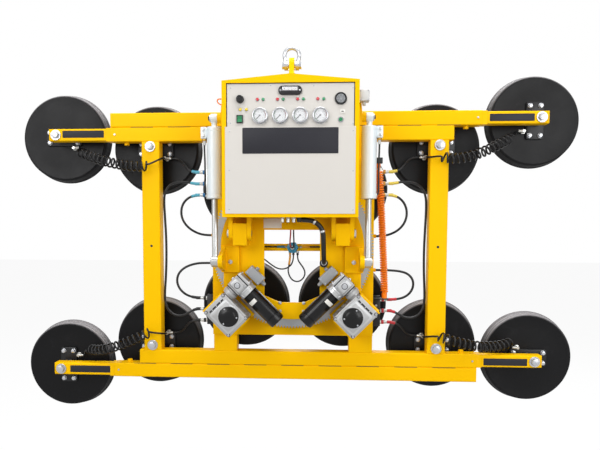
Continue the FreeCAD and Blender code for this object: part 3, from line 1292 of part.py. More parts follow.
def make_pad_hoses():
    """The short hoses from the port blocks to the tees on the outer columns' pads."""
    y, end, high = size["manifold_y"] - size["beam_front"], size["port_end"], size["port_high"]
    barb = size["outer_column_x"] - size["tee_inset"] - size["barb_length"]
    tee = (barb, size["elbow_y"] - size["beam_front"], size["fixed_pad_z"] - size["tee_drop"])
    out = (end + size["hose_lead"], y, high)
    into = (barb - size["hose_lead"], *tee[1:])
    route = [(end, y, high), out, (451, 45, 329), (470, 54, 349), (485, 65, 369), into, tee]
    hoses = []
    for across in (-1, 1):
        for up in (-1, 1):
            name = f"pad_hose_{'low' if up < 0 else 'top'}_{'left' if across < 0 else 'right'}"
            spots = [(across * x, y_spot, up * z) for x, y_spot, z in route]
            hoses.append(laid_hose(name, spots, size["pad_hose"]))
    return group("pad_hoses", *hoses)


def make_union_hoses():
    """Two thin hoses from the tilt plate's window to the union's still middle."""
    front = -size["union_length"] - size["union_hub_length"] - size["running_gap"]
    top = size["window_top"]
    middle = (size["tilt_front"] + size["tilt_back"]) / 2 - size["beam_front"]
    side, lead = size["union_hub_radius"] / 2, size["hose_lead"] / 2
    hoses = []
    for name, across in (("left", -1), ("right", 1)):
        x = across * side
        route = [
            (x, middle, top), (x, middle, top - lead), (x + across, -67, 44), (x + 2 * across, -71, 29),
            (x + 2 * across, -68, 17), (x + across, -61, 7), (x, front - lead, 2), (x, front, 2),
        ]
        hoses.append(laid_hose(f"union_hose_{name}", route, size["union_hose"]))
    return group("union_hoses", *hoses)


def make_conduit():
    """The thick cable conduit from the casing's elbow to the gland on the tilt plate."""
    gap = size["running_gap"]
    outlet = size["casing_base"] - size["conduit"] / 2
    start = FreeCAD.Vector(size["elbow_row_x"] + gap, size["row_elbow_y"], outlet)
    gland_front = size["tilt_front"] - size["conduit_gland_length"] - gap
    end = FreeCAD.Vector(size["conduit_gland_x"], gland_front, size["slew_z"] - size["conduit_gland_drop"])
    route = [
        (80.4, -200, 113.5), (110.6, -199.5, 96.1), (128, -198, 65.9), (129, -190, 20), (130, -172, -22),
        (131, -141, -52), (131, -108, -62),
    ]
    points = [start] + [point(*spot) for spot in route] + [end]
    tube, tightest = hose(points, size["conduit"])
    print(f"conduit: least radius {tightest:.0f} mm, {tightest / size['conduit']:.1f} diameters")
    return shaped("cable_conduit", tube)


def bezier(points, t):
    """A point on the smooth curve that a list of control points pulls."""
    while len(points) > 1:
        points = [a + (b - a) * t for a, b in zip(points, points[1:])]
    return points[0]


def curled_points(axis, radius, curls):
    """Places and headings, four a curl, of a line that winds about a gently bent axis."""
    steps = 4 * curls
    side = None
    spots = []
    for step in range(steps + 1):
        t = step / steps
        middle = bezier(axis, t)
        line = bezier(axis, min(t + 0.01, 1)) - bezier(axis, max(t - 0.01, 0))
        line.normalize()
        side = (side or FreeCAD.Vector(0, -1, 0)) - line * line.dot(side or FreeCAD.Vector(0, -1, 0))
        side.normalize()
        turn = math.pi / 2 * step
        spots.append(middle + (side * math.cos(turn) + line.cross(side) * math.sin(turn)) * radius)
    headings = [after - before for before, after in zip(spots, spots[2:])]
    first, last = spots[1] - spots[0], spots[-1] - spots[-2]
    headings = [first * 2 - headings[0] / 2 * 1, *headings, last * 2 - headings[-1] / 2 * 1]
    return spots, [heading / heading.Length for heading in headings]


def biarc(start, heading, end, end_heading):
    """Two tangent arcs from one place and heading to another."""
    across = end - start
    both = heading + end_heading
    spread = 2 * (1 - heading.dot(end_heading))
    pull = across.dot(both)
    reach_in = (math.sqrt(pull**2 + spread * across.dot(across)) - pull) / spread
    middle = (start + end + (heading - end_heading) * reach_in) / 2
    first = Part.Arc(start, arc_middle(start, heading, middle), middle)
    back = arc_middle(end, end_heading * -1, middle)
    return [first.toShape(), Part.Arc(middle, back, end).toShape()]


def curled_hose(name, axis, lead_in, lead_out, outer, diameter, curls):
    """One unbroken hose: a straight end, a lead, its curls, a lead and a straight end."""
    spots, headings = curled_points(axis, (outer - diameter) / 2, curls)
    spots = lead_in + spots + lead_out
    lead_headings = [lead_in[1] - lead_in[0]]
    lead_headings += [b - a for a, b in zip(lead_in, lead_in[2:] + [spots[len(lead_in)]])]
    tail = [spots[-len(lead_out) - 1]] + lead_out
    tail_headings = [b - a for a, b in zip(tail, tail[2:])] + [lead_out[-1] - lead_out[-2]]
    headings = lead_headings + headings + tail_headings
    headings = [heading / heading.Length for heading in headings]
    headings[1] = headings[0]
    headings[-2] = headings[-1]
    edges = [Part.LineSegment(spots[0], spots[1]).toShape()]
    for n in range(1, len(spots) - 2):
        edges += biarc(spots[n], headings[n], spots[n + 1], headings[n + 1])
    edges.append(Part.LineSegment(spots[-2], spots[-1]).toShape())
    path = Part.Wire(edges)
    tube = checked(name, sweep(edges, spots[0], spots[1] - spots[0], diameter), path.Length, diameter)
    print(f"{name}: {curls} curls, {path.Length:.0f} mm of hose, least gap {self_gap(path, diameter):.2f} mm")
    return shaped(name, tube)


def self_gap(path, diameter):
    """The least clear space between two stretches of the same hose."""
    step = diameter / 2
    marks = path.discretize(Distance=step)
    apart = int(3 * diameter / step)
    least = min(
        (a - b).Length for n, a in enumerate(marks) for b in marks[n + apart : n + 16 * apart]
    )
    return least - diameter


def make_coil_hoses():
    """The curled hoses from the sliding pads to the tees beside the outer columns."""
    diameter, outer = size["coil_hose"], size["coil_outer"]
    slack = {
        "tl": [(-920, 40, 404), (-819, -17, 367), (-712, -46, 330), (-606, -34, 339)],
        "tr": [(905, 50, 457), (815, -19, 413), (711, -48, 343), (606, -34, 373)],
        "bl": [(-905, 50, -456), (-815, -17, -461), (-711, -46, -408), (-606, -34, -364)],
        "br": [(920, 40, -402), (819, -17, -427), (712, -47, -399), (606, -34, -364)],
    }
    hoses = []
    for corner, (side, level, row) in CORNERS.items():
        sign, up = int(SIDES[side]), int(level)
        barb_x = sign * (size["pad_reach"] - size["elbow_inset"] - size["barb_length"])
        barb_y = size["elbow_y"] - size["beam_front"]
        barb_z = up * (size[row] - size["elbow_drop"])
        tee_x = sign * (size["outer_column_x"] - size["tee_inset"])
        tee_y = size["pad_front"] - size["tee_reach"] - size["beam_front"]
        tee_z = up * (size["fixed_pad_z"] - size["tee_drop"])
        lead_in = [point(barb_x, barb_y, barb_z), point(barb_x - sign * diameter, barb_y, barb_z)]
        lead_out = [
            point(tee_x, -12, up * 372), point(tee_x, tee_y - diameter, tee_z), point(tee_x, tee_y, tee_z)
        ]
        axis = [point(*spot) for spot in slack[corner]]
        hoses.append(curled_hose(f"coil_{corner}", axis, lead_in, lead_out, outer, diameter, 15))
    return group("coil_hoses", *hoses)


def make_curled_line():
    """The long curled line down the right middle column, between its two blocks."""
    diameter, outer = size["curl_hose"], size["curl_outer"]
    y, top, low = size["curl_block_set"], size["curl_block_top"], -size["curl_block_low"]
    x_top = size["inner_side"] + size["curl_block_reach"] / 2
    x_low = size["inner_side"] + size["curl_low_reach"] - size["curl_block_reach"] / 2
    lead_in = [point(x_top, y, top), point(x_top, y, top - diameter)]
    lead_out = [point(x_low, y, low + diameter), point(x_low, y, low)]
    axis = [point(x_top + 4, y, 322), point(x_top + 22, y, 60), point(x_low, y, -186)]
    return curled_hose("curled_line", axis, lead_in, lead_out, outer, diameter, 48)


def make_all():
    """Every node of the part, each with its own label."""
    left_barrel, left_rod = make_barrel(), make_rod()
    cases, lenses = make_gauges()
    nodes = [
        make_casing(), make_lug(), make_tilt_pins(), make_panel(), make_cover(), cases, lenses, make_lamps(),
        make_sounders(), make_meter(), make_receiver(), make_battery(), make_pump(), make_power_unit(),
        make_port_elbows(), make_rocker(), make_button(), make_shackle_bow(), make_shackle_pin(),
        left_barrel, left_rod,
        mirrored("right_barrel", left_barrel), mirrored("right_rod", left_rod), make_tilt_plate(),
        make_hinge_blocks(), make_rod_brackets(), make_drive_mounts(), make_gearboxes(), make_drive_motors(),
        make_limit_switches(), make_race(), make_pinion("left_pinion", -1), make_pinion("right_pinion", 1),
        make_ring_gear(), make_rotor_plate(), make_inner_columns(), make_outer_columns(),
        make_beam("upper_beam", "1", "right", "left"), make_beam("lower_beam", "-1", "left", "right"),
        make_fixed_pads(), make_manifolds(), make_union(), make_feed_hoses(), make_pad_hoses(),
        make_union_hoses(), make_conduit(), make_coil_hoses(), make_curled_line(),
    ]
    nodes += [make_needle(number, x) for number, x in gauge_places().items()]
    for corner in CORNERS:
        nodes += make_arm(corner)
    return nodes


nodes = make_all()
doc.recompute()
failed = [item.Label for item in doc.Objects if {"Invalid", "Error"} & set(item.State)]
failed += [node.Label for node in nodes if node.Shape.isNull() or not node.Shape.isValid()]
if failed:
    raise ValueError(f"these did not build: {failed}")
os.makedirs("parts", exist_ok=True)
for node in nodes:
    node.Shape.exportStep(f"parts/{node.Label}.step")
print(f"{len(nodes)} nodes, {sum(len(node.Shape.Solids) for node in nodes)} solids")
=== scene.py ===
import json
import math

import bmesh
import bpy
from mathutils import Matrix, Vector
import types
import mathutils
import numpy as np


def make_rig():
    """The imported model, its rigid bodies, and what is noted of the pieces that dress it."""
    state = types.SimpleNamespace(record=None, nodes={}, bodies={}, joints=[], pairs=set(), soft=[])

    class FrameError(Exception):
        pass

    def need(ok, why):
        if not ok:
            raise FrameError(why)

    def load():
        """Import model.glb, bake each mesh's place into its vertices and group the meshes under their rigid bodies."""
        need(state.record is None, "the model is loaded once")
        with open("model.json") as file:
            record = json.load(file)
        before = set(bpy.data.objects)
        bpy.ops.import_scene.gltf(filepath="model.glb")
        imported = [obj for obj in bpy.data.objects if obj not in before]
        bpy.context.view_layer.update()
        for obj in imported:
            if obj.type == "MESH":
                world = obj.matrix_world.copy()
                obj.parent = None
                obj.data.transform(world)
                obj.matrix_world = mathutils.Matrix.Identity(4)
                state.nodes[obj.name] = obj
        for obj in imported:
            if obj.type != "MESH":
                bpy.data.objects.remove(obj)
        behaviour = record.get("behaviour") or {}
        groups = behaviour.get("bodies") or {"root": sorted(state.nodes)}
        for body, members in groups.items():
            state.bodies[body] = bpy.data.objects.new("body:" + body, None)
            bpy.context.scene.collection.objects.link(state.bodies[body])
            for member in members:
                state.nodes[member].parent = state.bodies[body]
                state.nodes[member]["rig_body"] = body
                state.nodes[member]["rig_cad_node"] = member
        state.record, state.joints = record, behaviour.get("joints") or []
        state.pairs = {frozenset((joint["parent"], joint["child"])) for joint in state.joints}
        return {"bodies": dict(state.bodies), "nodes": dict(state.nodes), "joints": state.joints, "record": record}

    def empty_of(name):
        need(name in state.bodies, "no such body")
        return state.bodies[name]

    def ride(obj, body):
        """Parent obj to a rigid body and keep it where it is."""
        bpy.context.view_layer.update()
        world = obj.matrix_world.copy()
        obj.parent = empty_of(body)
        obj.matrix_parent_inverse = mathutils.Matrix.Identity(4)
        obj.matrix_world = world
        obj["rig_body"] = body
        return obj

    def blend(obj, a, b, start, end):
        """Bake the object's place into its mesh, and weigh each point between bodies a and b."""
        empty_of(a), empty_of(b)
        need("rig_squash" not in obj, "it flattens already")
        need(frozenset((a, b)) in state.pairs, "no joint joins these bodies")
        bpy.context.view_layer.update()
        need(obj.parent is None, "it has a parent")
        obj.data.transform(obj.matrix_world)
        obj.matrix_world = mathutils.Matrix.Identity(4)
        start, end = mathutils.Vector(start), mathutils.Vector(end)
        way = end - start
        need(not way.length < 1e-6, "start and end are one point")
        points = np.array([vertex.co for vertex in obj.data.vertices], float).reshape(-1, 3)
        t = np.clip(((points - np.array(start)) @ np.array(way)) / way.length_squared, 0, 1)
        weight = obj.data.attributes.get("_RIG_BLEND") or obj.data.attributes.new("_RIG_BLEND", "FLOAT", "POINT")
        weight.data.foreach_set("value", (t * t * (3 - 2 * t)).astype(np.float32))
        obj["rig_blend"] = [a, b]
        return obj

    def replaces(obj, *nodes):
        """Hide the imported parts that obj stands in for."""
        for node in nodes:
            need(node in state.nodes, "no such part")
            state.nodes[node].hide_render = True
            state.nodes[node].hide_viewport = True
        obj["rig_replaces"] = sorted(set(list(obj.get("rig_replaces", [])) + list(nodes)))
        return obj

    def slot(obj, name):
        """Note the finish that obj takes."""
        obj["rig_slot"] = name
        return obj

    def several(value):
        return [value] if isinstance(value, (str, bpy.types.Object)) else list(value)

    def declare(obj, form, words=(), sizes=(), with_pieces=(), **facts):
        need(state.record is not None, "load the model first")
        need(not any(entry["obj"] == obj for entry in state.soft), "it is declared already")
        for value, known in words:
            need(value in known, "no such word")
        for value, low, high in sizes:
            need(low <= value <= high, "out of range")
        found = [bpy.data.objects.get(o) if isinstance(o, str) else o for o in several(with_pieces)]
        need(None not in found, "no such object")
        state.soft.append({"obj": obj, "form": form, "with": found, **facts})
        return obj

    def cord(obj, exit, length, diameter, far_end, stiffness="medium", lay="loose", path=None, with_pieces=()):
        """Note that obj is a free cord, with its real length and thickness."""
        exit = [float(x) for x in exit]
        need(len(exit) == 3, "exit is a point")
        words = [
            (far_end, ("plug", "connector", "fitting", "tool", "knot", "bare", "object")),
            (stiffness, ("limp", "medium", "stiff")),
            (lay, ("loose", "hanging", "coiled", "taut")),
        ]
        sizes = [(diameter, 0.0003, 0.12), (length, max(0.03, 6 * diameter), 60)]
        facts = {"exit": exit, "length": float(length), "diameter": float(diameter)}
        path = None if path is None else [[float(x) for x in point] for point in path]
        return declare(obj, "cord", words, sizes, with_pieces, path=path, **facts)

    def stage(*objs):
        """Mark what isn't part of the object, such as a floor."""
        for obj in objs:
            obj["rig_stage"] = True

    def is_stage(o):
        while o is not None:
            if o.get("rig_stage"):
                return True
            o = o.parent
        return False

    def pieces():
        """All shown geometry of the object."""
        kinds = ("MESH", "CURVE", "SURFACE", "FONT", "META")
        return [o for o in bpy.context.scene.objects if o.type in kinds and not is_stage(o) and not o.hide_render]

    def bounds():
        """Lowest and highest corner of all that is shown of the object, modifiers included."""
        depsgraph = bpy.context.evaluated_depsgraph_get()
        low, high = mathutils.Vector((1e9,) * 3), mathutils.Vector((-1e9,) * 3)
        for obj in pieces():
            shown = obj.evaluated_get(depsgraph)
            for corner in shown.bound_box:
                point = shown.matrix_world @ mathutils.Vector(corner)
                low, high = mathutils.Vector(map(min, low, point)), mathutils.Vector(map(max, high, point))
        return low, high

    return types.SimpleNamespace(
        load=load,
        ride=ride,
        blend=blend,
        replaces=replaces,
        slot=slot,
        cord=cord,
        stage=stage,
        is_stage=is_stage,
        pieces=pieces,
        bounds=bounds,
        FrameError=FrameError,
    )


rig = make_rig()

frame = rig.load()
cad_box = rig.bounds()

# Places are in millimetres from the slewing axis at the front of the beams: X right, Y to the pads, Z up.
BEAM_FRONT, SLEW_AXIS = 110, -782


def spot(x, y, z):
    """A place in the shared frame, in metres."""
    return Vector((x, y + BEAM_FRONT, z + SLEW_AXIS)) / 1000


FRONT, BACK = Vector((0, -1, 0)), Vector((0, 1, 0))
RIGHT, LEFT = Vector((1, 0, 0)), Vector((-1, 0, 0))
UP, DOWN = Vector((0, 0, 1)), Vector((0, 0, -1))
SIDES = {"left": -1, "right": 1}
LEVELS = {"top": 1, "low": -1}


def placed(name, data):
    """A new object in the scene that shows this data."""
    thing = bpy.data.objects.new(name, data)
    bpy.context.scene.collection.objects.link(thing)
    return thing


# Finishes


def shade(red, green, blue):
    """A paint-chart colour, 0 to 255, as the shader wants it."""
    def linear(part):
        part /= 255
        return part / 12.92 if part <= 0.04045 else ((part + 0.055) / 1.055) ** 2.4
    return (linear(red), linear(green), linear(blue), 1.0)


def socket(group, name, kind, way, value=None):
    made = group.interface.new_socket(name, in_out=way, socket_type=kind)
    if value is not None:
        made.default_value = value


def valued(node, values):
    """A node with some of its inputs set."""
    for key, value in values.items():
        node.inputs[key].default_value = value
    return node


def worked_out(tree, operation, *values):
    """The outcome of a sum in a node tree, whose values are numbers or other outcomes."""
    node = tree.nodes.new("ShaderNodeMath")
    node.operation = operation
    for given, value in zip(node.inputs, values):
        if isinstance(value, float):
            given.default_value = value
        else:
            tree.links.new(value, given)
    return node.outputs[0]


def make_worked_surface():
    """Patchy tone, uneven polish and fine grain, which every finish carries in its own measure."""
    group = bpy.data.node_groups.new("worked_surface", "ShaderNodeTree")
    socket(group, "Color", "NodeSocketColor", "INPUT", (0.5, 0.5, 0.5, 1))
    for name, value in (("Shade", 0.1), ("Patch", 8.0), ("Roughness", 0.4), ("Spread", 0.1),
                        ("Grain", 600.0)):
        socket(group, name, "NodeSocketFloat", "INPUT", value)
    socket(group, "Color", "NodeSocketColor", "OUTPUT")
    socket(group, "Roughness", "NodeSocketFloat", "OUTPUT")
    socket(group, "Height", "NodeSocketFloat", "OUTPUT")
    nodes, link = group.nodes, group.links.new
    given, made = nodes.new("NodeGroupInput"), nodes.new("NodeGroupOutput")
    where = nodes.new("ShaderNodeTexCoord").outputs["Object"]
    patches = valued(nodes.new("ShaderNodeTexNoise"), {"Detail": 6.0, "Roughness": 0.6})
    link(where, patches.inputs["Vector"])
    link(given.outputs["Patch"], patches.inputs["Scale"])
    dimmed = worked_out(group, "MULTIPLY", patches.outputs["Fac"], given.outputs["Shade"])
    tone = nodes.new("ShaderNodeVectorMath")
    tone.operation = "SCALE"
    link(given.outputs["Color"], tone.inputs[0])
    link(worked_out(group, "SUBTRACT", 1.0, dimmed), tone.inputs["Scale"])
    link(tone.outputs[0], made.inputs["Color"])
    grain = valued(nodes.new("ShaderNodeTexNoise"), {"Detail": 3.0})
    link(where, grain.inputs["Vector"])
    link(given.outputs["Grain"], grain.inputs["Scale"])
    link(grain.outputs["Fac"], made.inputs["Height"])
    spread, rough = given.outputs["Spread"], given.outputs["Roughness"]
    link(worked_out(group, "MULTIPLY_ADD", patches.outputs["Fac"], spread, rough), made.inputs["Roughness"])
    return group


def make_scuffs():
    """Sparse pale rub marks: how much of the surface they take is the one value given."""
    group = bpy.data.node_groups.new("scuffs", "ShaderNodeTree")
    socket(group, "Amount", "NodeSocketFloat", "INPUT", 0.3)
    socket(group, "Scale", "NodeSocketFloat", "INPUT", 25.0)
    socket(group, "Mask", "NodeSocketFloat", "OUTPUT")
    nodes, link = group.nodes, group.links.new
    given, made = nodes.new("NodeGroupInput"), nodes.new("NodeGroupOutput")
    where = nodes.new("ShaderNodeTexCoord").outputs["Object"]
    streaks = valued(nodes.new("ShaderNodeTexNoise"), {"Detail": 8.0, "Roughness": 0.7, "Distortion": 1.2})
    link(where, streaks.inputs["Vector"])
    link(given.outputs["Scale"], streaks.inputs["Scale"])
    bare = valued(nodes.new("ShaderNodeMapRange"), {"From Min": 0.56, "From Max": 0.72})
    link(streaks.outputs["Fac"], bare.inputs["Value"])
    link(worked_out(group, "MULTIPLY", bare.outputs["Result"], given.outputs["Amount"]),
         made.inputs["Mask"])
    return group


def make_tool_marks():
    """Fine lines that a cutter leaves, along one axis of the piece."""
    group = bpy.data.node_groups.new("tool_marks", "ShaderNodeTree")
    socket(group, "Stretch", "NodeSocketVector", "INPUT", (1.0, 1.0, 1.0))
    socket(group, "Height", "NodeSocketFloat", "OUTPUT")
    nodes, link = group.nodes, group.links.new
    given, made = nodes.new("NodeGroupInput"), nodes.new("NodeGroupOutput")
    stretch = nodes.new("ShaderNodeMapping")
    link(nodes.new("ShaderNodeTexCoord").outputs["Object"], stretch.inputs["Vector"])
    link(given.outputs["Stretch"], stretch.inputs["Scale"])
    lines = valued(nodes.new("ShaderNodeTexNoise"), {"Scale": 300.0, "Detail": 4.0})
    link(stretch.outputs["Vector"], lines.inputs["Vector"])
    link(lines.outputs["Fac"], made.inputs["Height"])
    return group


def make_top_light_mask():
    """Painted light: more on a face the more it looks up, standing in for the overhead light that falls on upward
    faces.
    """
    group = bpy.data.node_groups.new("painted_top_light", "ShaderNodeTree")
    socket(group, "Mask", "NodeSocketFloat", "OUTPUT")
    nodes, link = group.nodes, group.links.new
    made = nodes.new("NodeGroupOutput")
    facing = nodes.new("ShaderNodeSeparateXYZ")
    link(nodes.new("ShaderNodeTexCoord").outputs["Normal"], facing.inputs[0])
    level = valued(nodes.new("ShaderNodeMapRange"), {"From Min": 0.1, "From Max": 0.75})
    link(facing.outputs["Z"], level.inputs["Value"])
    link(level.outputs["Result"], made.inputs["Mask"])
    return group


WORKED, SCUFFS, TOOL_MARKS, TOP_LIGHT = make_worked_surface(), make_scuffs(), make_tool_marks(), make_top_light_mask()


def finish(name, colour, rough, tone=0.08, patch=7.0, spread=0.08, grain=700.0, bump=0.03, scuff=None,
           scuff_colour=None, marks=None, top_light_colour=None, **sockets):
    """A finish: its colour, its polish, its grain, and what else its shader's own sockets hold."""
    material = bpy.data.materials.new(name)
    material.use_nodes = True
    nodes, link = material.node_tree.nodes, material.node_tree.links.new
    shader = nodes["Principled BSDF"]
    for key, value in sockets.items():
        shader.inputs[key.replace("_", " ").title().replace("Ior", "IOR")].default_value = value
    worked = nodes.new("ShaderNodeGroup")
    worked.node_tree = WORKED
    valued(worked, {"Color": colour, "Shade": tone, "Patch": patch, "Roughness": rough - spread / 2,
                    "Spread": spread, "Grain": grain})
    base = worked.outputs["Color"]
    layers = []
    if scuff:
        layers.append((SCUFFS, {"Amount": scuff[0], "Scale": scuff[1]}, scuff_colour))
    # top_light_colour is painted light: upward faces are made paler, as if lit from above.
    if top_light_colour:
        layers.append((TOP_LIGHT, {}, top_light_colour))
    for group, values, layer_colour in layers:
        mask = nodes.new("ShaderNodeGroup")
        mask.node_tree = group
        valued(mask, values)
        mix = nodes.new("ShaderNodeMix")
        mix.data_type = "RGBA"
        link(mask.outputs["Mask"], mix.inputs["Factor"])
        link(base, mix.inputs["A"])
        mix.inputs["B"].default_value = layer_colour
        base = mix.outputs["Result"]
    link(base, shader.inputs["Base Color"])
    link(worked.outputs["Roughness"], shader.inputs["Roughness"])
    height = worked.outputs["Height"]
    if marks:
        cutter = nodes.new("ShaderNodeGroup")
        cutter.node_tree = TOOL_MARKS
        cutter.inputs["Stretch"].default_value = marks
        height = cutter.outputs["Height"]
    relief = valued(nodes.new("ShaderNodeBump"), {"Strength": bump, "Distance": 0.001})
    link(height, relief.inputs["Height"])
    link(relief.outputs["Normal"], shader.inputs["Normal"])
    return material


YELLOW = finish("yellow_enamel", shade(255, 197, 0), 0.42, tone=0.05, patch=3.0, grain=260, bump=0.05,
                scuff=(0.08, 14.0), scuff_colour=shade(242, 180, 0), specular_ior_level=0.07)
PANEL = finish("panel_enamel", shade(211, 207, 201), 0.45, tone=0.04, patch=4.0, grain=900, bump=0.06,
               scuff=(0.12, 9.0), scuff_colour=shade(206, 201, 193), specular_ior_level=0.3)
PAD_FACE = finish("pad_charcoal", shade(13, 13, 15), 0.38, tone=0.3, patch=9.0, spread=0.2, grain=420,
                  bump=0.12, scuff=(0.35, 18.0), scuff_colour=shade(34, 33, 37), specular_ior_level=0.15)
# Painted light: the seal's upward faces are made pale grey, standing in for the overhead light on the top rims.
SEAL = finish("seal_rubber", shade(24, 24, 26), 0.6, tone=0.3, patch=12.0, spread=0.15, grain=520, bump=0.1,
              scuff=(0.3, 30.0), scuff_colour=shade(48, 47, 48), top_light_colour=shade(150, 147, 149),
              specular_ior_level=0.14)
BLACK_STEEL = finish("black_enamel", shade(22, 22, 24), 0.36, tone=0.25, grain=500, bump=0.06,
                     scuff=(0.3, 26.0), scuff_colour=shade(58, 58, 60), specular_ior_level=0.3)
ZINC = finish("zinc_plate", shade(190, 192, 196), 0.32, tone=0.2, patch=40.0, spread=0.16, grain=900,
              bump=0.04, metallic=0.9)
CHROME = finish("hard_chrome", shade(182, 183, 182), 0.22, tone=0.08, patch=20.0, spread=0.08,
                marks=(1.0, 1.0, 12.0), bump=0.02, metallic=0.6)
GEAR_STEEL = finish("gear_steel", shade(172, 176, 180), 0.42, tone=0.22, patch=18.0, spread=0.2, grain=500,
                    bump=0.08, metallic=0.4, scuff=(0.5, 22.0), scuff_colour=shade(132, 132, 130))
CAST = finish("cast_alloy", shade(178, 178, 178), 0.48, tone=0.18, patch=24.0, spread=0.22, grain=850,
              bump=0.22, metallic=0.35, scuff=(0.3, 30.0), scuff_colour=shade(128, 128, 130))
MACHINED = finish("machined_alloy", shade(190, 191, 192), 0.32, tone=0.1, patch=30.0, spread=0.14,
                  marks=(6.0, 1.0, 1.0), bump=0.05, metallic=0.5)
MOTOR_BLACK = finish("motor_black", shade(8, 8, 10), 0.26, tone=0.2, grain=380, bump=0.04, coat_weight=0.06,
                     specular_ior_level=0.25)
BLACK_MOULDED = finish("black_moulding", shade(20, 20, 22), 0.40, tone=0.2, grain=1400, bump=0.1,
                       specular_ior_level=0.35)
GREY_MOULDED = finish("grey_moulding", shade(160, 163, 166), 0.46, tone=0.1, grain=1200, bump=0.08)
PALE_MOULDED = finish("pale_moulding", shade(204, 204, 202), 0.45, tone=0.08, grain=1200, bump=0.08)
BARREL_WHITE = finish("barrel_enamel", shade(230, 238, 242), 0.32, tone=0.06, patch=9.0, grain=300,
                      bump=0.05, coat_weight=0.25)
NICKEL = finish("nickel_fitting", shade(196, 196, 192), 0.28, tone=0.14, patch=50.0, spread=0.14, bump=0.03,
                metallic=0.75)
BRASS = finish("brass_fitting", shade(206, 164, 88), 0.30, tone=0.18, patch=40.0, spread=0.16, bump=0.03,
               metallic=0.8)
HOSE = finish("hose_black", shade(17, 17, 19), 0.32, tone=0.2, patch=20.0, grain=900, bump=0.06,
              specular_ior_level=0.35)
RED_HOSE = finish("hose_red", shade(168, 20, 26), 0.38, tone=0.14, patch=20.0, grain=900, bump=0.06)
ORANGE = finish("curl_orange", shade(255, 132, 4), 0.36, tone=0.1, patch=18.0, grain=700, bump=0.04,
                specular_ior_level=0.3)
TEAL = finish("union_teal", shade(40, 122, 152), 0.38, tone=0.2, patch=60.0, metallic=0.2)
BLUE = finish("collar_blue", shade(20, 108, 168), 0.36, tone=0.12, patch=50.0)
SKY = finish("sleeve_sky", shade(84, 180, 208), 0.40, tone=0.12, patch=50.0)
AMBER = finish("collar_amber", shade(220, 152, 22), 0.36, tone=0.12, patch=50.0)
LEMON = finish("sleeve_lemon", shade(236, 214, 84), 0.40, tone=0.12, patch=50.0)
RED = finish("collar_red", shade(196, 22, 36), 0.36, tone=0.12, patch=50.0)
PLATE_DARK = finish("plain_plate", shade(42, 42, 48), 0.48, tone=0.1, patch=16.0, grain=1200, bump=0.05,
                    specular_ior_level=0.2)
PLATE_PALE = finish("pale_plate", shade(240, 238, 232), 0.42, tone=0.14, patch=40.0, grain=900, bump=0.05)
DIAL = finish("dial_white", shade(238, 238, 240), 0.5, tone=0.03, grain=1500, bump=0.02)
DIAL_INK = finish("dial_ink", shade(30, 30, 34), 0.55, tone=0.1)
DIAL_RED = finish("dial_red", shade(206, 34, 40), 0.5, tone=0.08)
DIAL_GREEN = finish("dial_green", shade(30, 150, 80), 0.5, tone=0.08)
BEZEL = finish("bezel_steel", shade(186, 187, 190), 0.24, tone=0.1, patch=60.0, marks=(1.0, 8.0, 1.0),
               bump=0.03, metallic=0.95)
GLASS = finish("gauge_glass", shade(244, 248, 250), 0.05, tone=0.02, spread=0.02, bump=0.0, alpha=0.10)
LAMP_RED = finish("lamp_red", shade(204, 20, 44), 0.16, tone=0.1, patch=90.0, coat_weight=0.6)
LAMP_GREEN = finish("lamp_green", shade(20, 140, 84), 0.16, tone=0.1, patch=90.0, coat_weight=0.6)
LAMP_AMBER = finish("lamp_amber", shade(236, 206, 30), 0.16, tone=0.1, patch=90.0, coat_weight=0.6)
GREEN_MOULDED = finish("green_moulding", shade(18, 126, 76), 0.34, tone=0.1, patch=60.0, coat_weight=0.3)


# Bench work: small shapes that are joined into pieces

SHARP = math.radians(32)


def turned(profile, steps=48):
    """A lathe shape about Z from (radius, along) pairs in millimetres."""
    part = bmesh.new()
    points = [part.verts.new((radius / 1000, 0, along / 1000)) for radius, along in profile]
    edges = [part.edges.new(pair) for pair in zip(points, points[1:])]
    bmesh.ops.spin(part, geom=points + edges, axis=(0, 0, 1), cent=(0, 0, 0), angle=math.tau, steps=steps,
                   use_merge=True)
    bmesh.ops.remove_doubles(part, verts=part.verts, dist=1e-6)
    bmesh.ops.recalc_face_normals(part, faces=part.faces)
    return part


def bevelled(part, edges, size, steps=2):
    bmesh.ops.bevel(part, geom=edges, offset=size / 1000, offset_type="OFFSET", segments=steps, profile=0.5,
                    affect="EDGES", clamp_overlap=True, material=-1)
    return part


def slab(wide, deep, tall, edge=1.0, corner=0.0, along=1):
    """A block about its middle. corner rounds the four edges along one axis, edge softens the rest."""
    part = bmesh.new()
    sizes = Matrix.Diagonal((wide / 1000, deep / 1000, tall / 1000, 1))
    bmesh.ops.create_cube(part, size=1, matrix=sizes)
    if corner:
        running = [e for e in part.edges if abs((e.verts[0].co - e.verts[1].co)[along]) > 1e-6]
        bevelled(part, running, corner, 5)
    if edge:
        sharp = [e for e in part.edges if e.calc_face_angle() > 0.6]
        bevelled(part, sharp, edge)
    return part


def prism(sides, radius, length, edge=0.0):
    """A straight bar on Z from 0 to its length, with its front rim softened."""
    part = bmesh.new()
    place = Matrix.Translation((0, 0, length / 2000)) @ Matrix.Rotation(math.pi / sides, 4, "Z")
    bmesh.ops.create_cone(part, cap_ends=True, segments=sides, radius1=radius / 1000, radius2=radius / 1000,
                          depth=length / 1000, matrix=place)
    if edge:
        rim = [e for e in part.edges if all(v.co.z > length / 1000 - 1e-6 for v in e.verts)]
        bevelled(part, rim, edge)
    return part


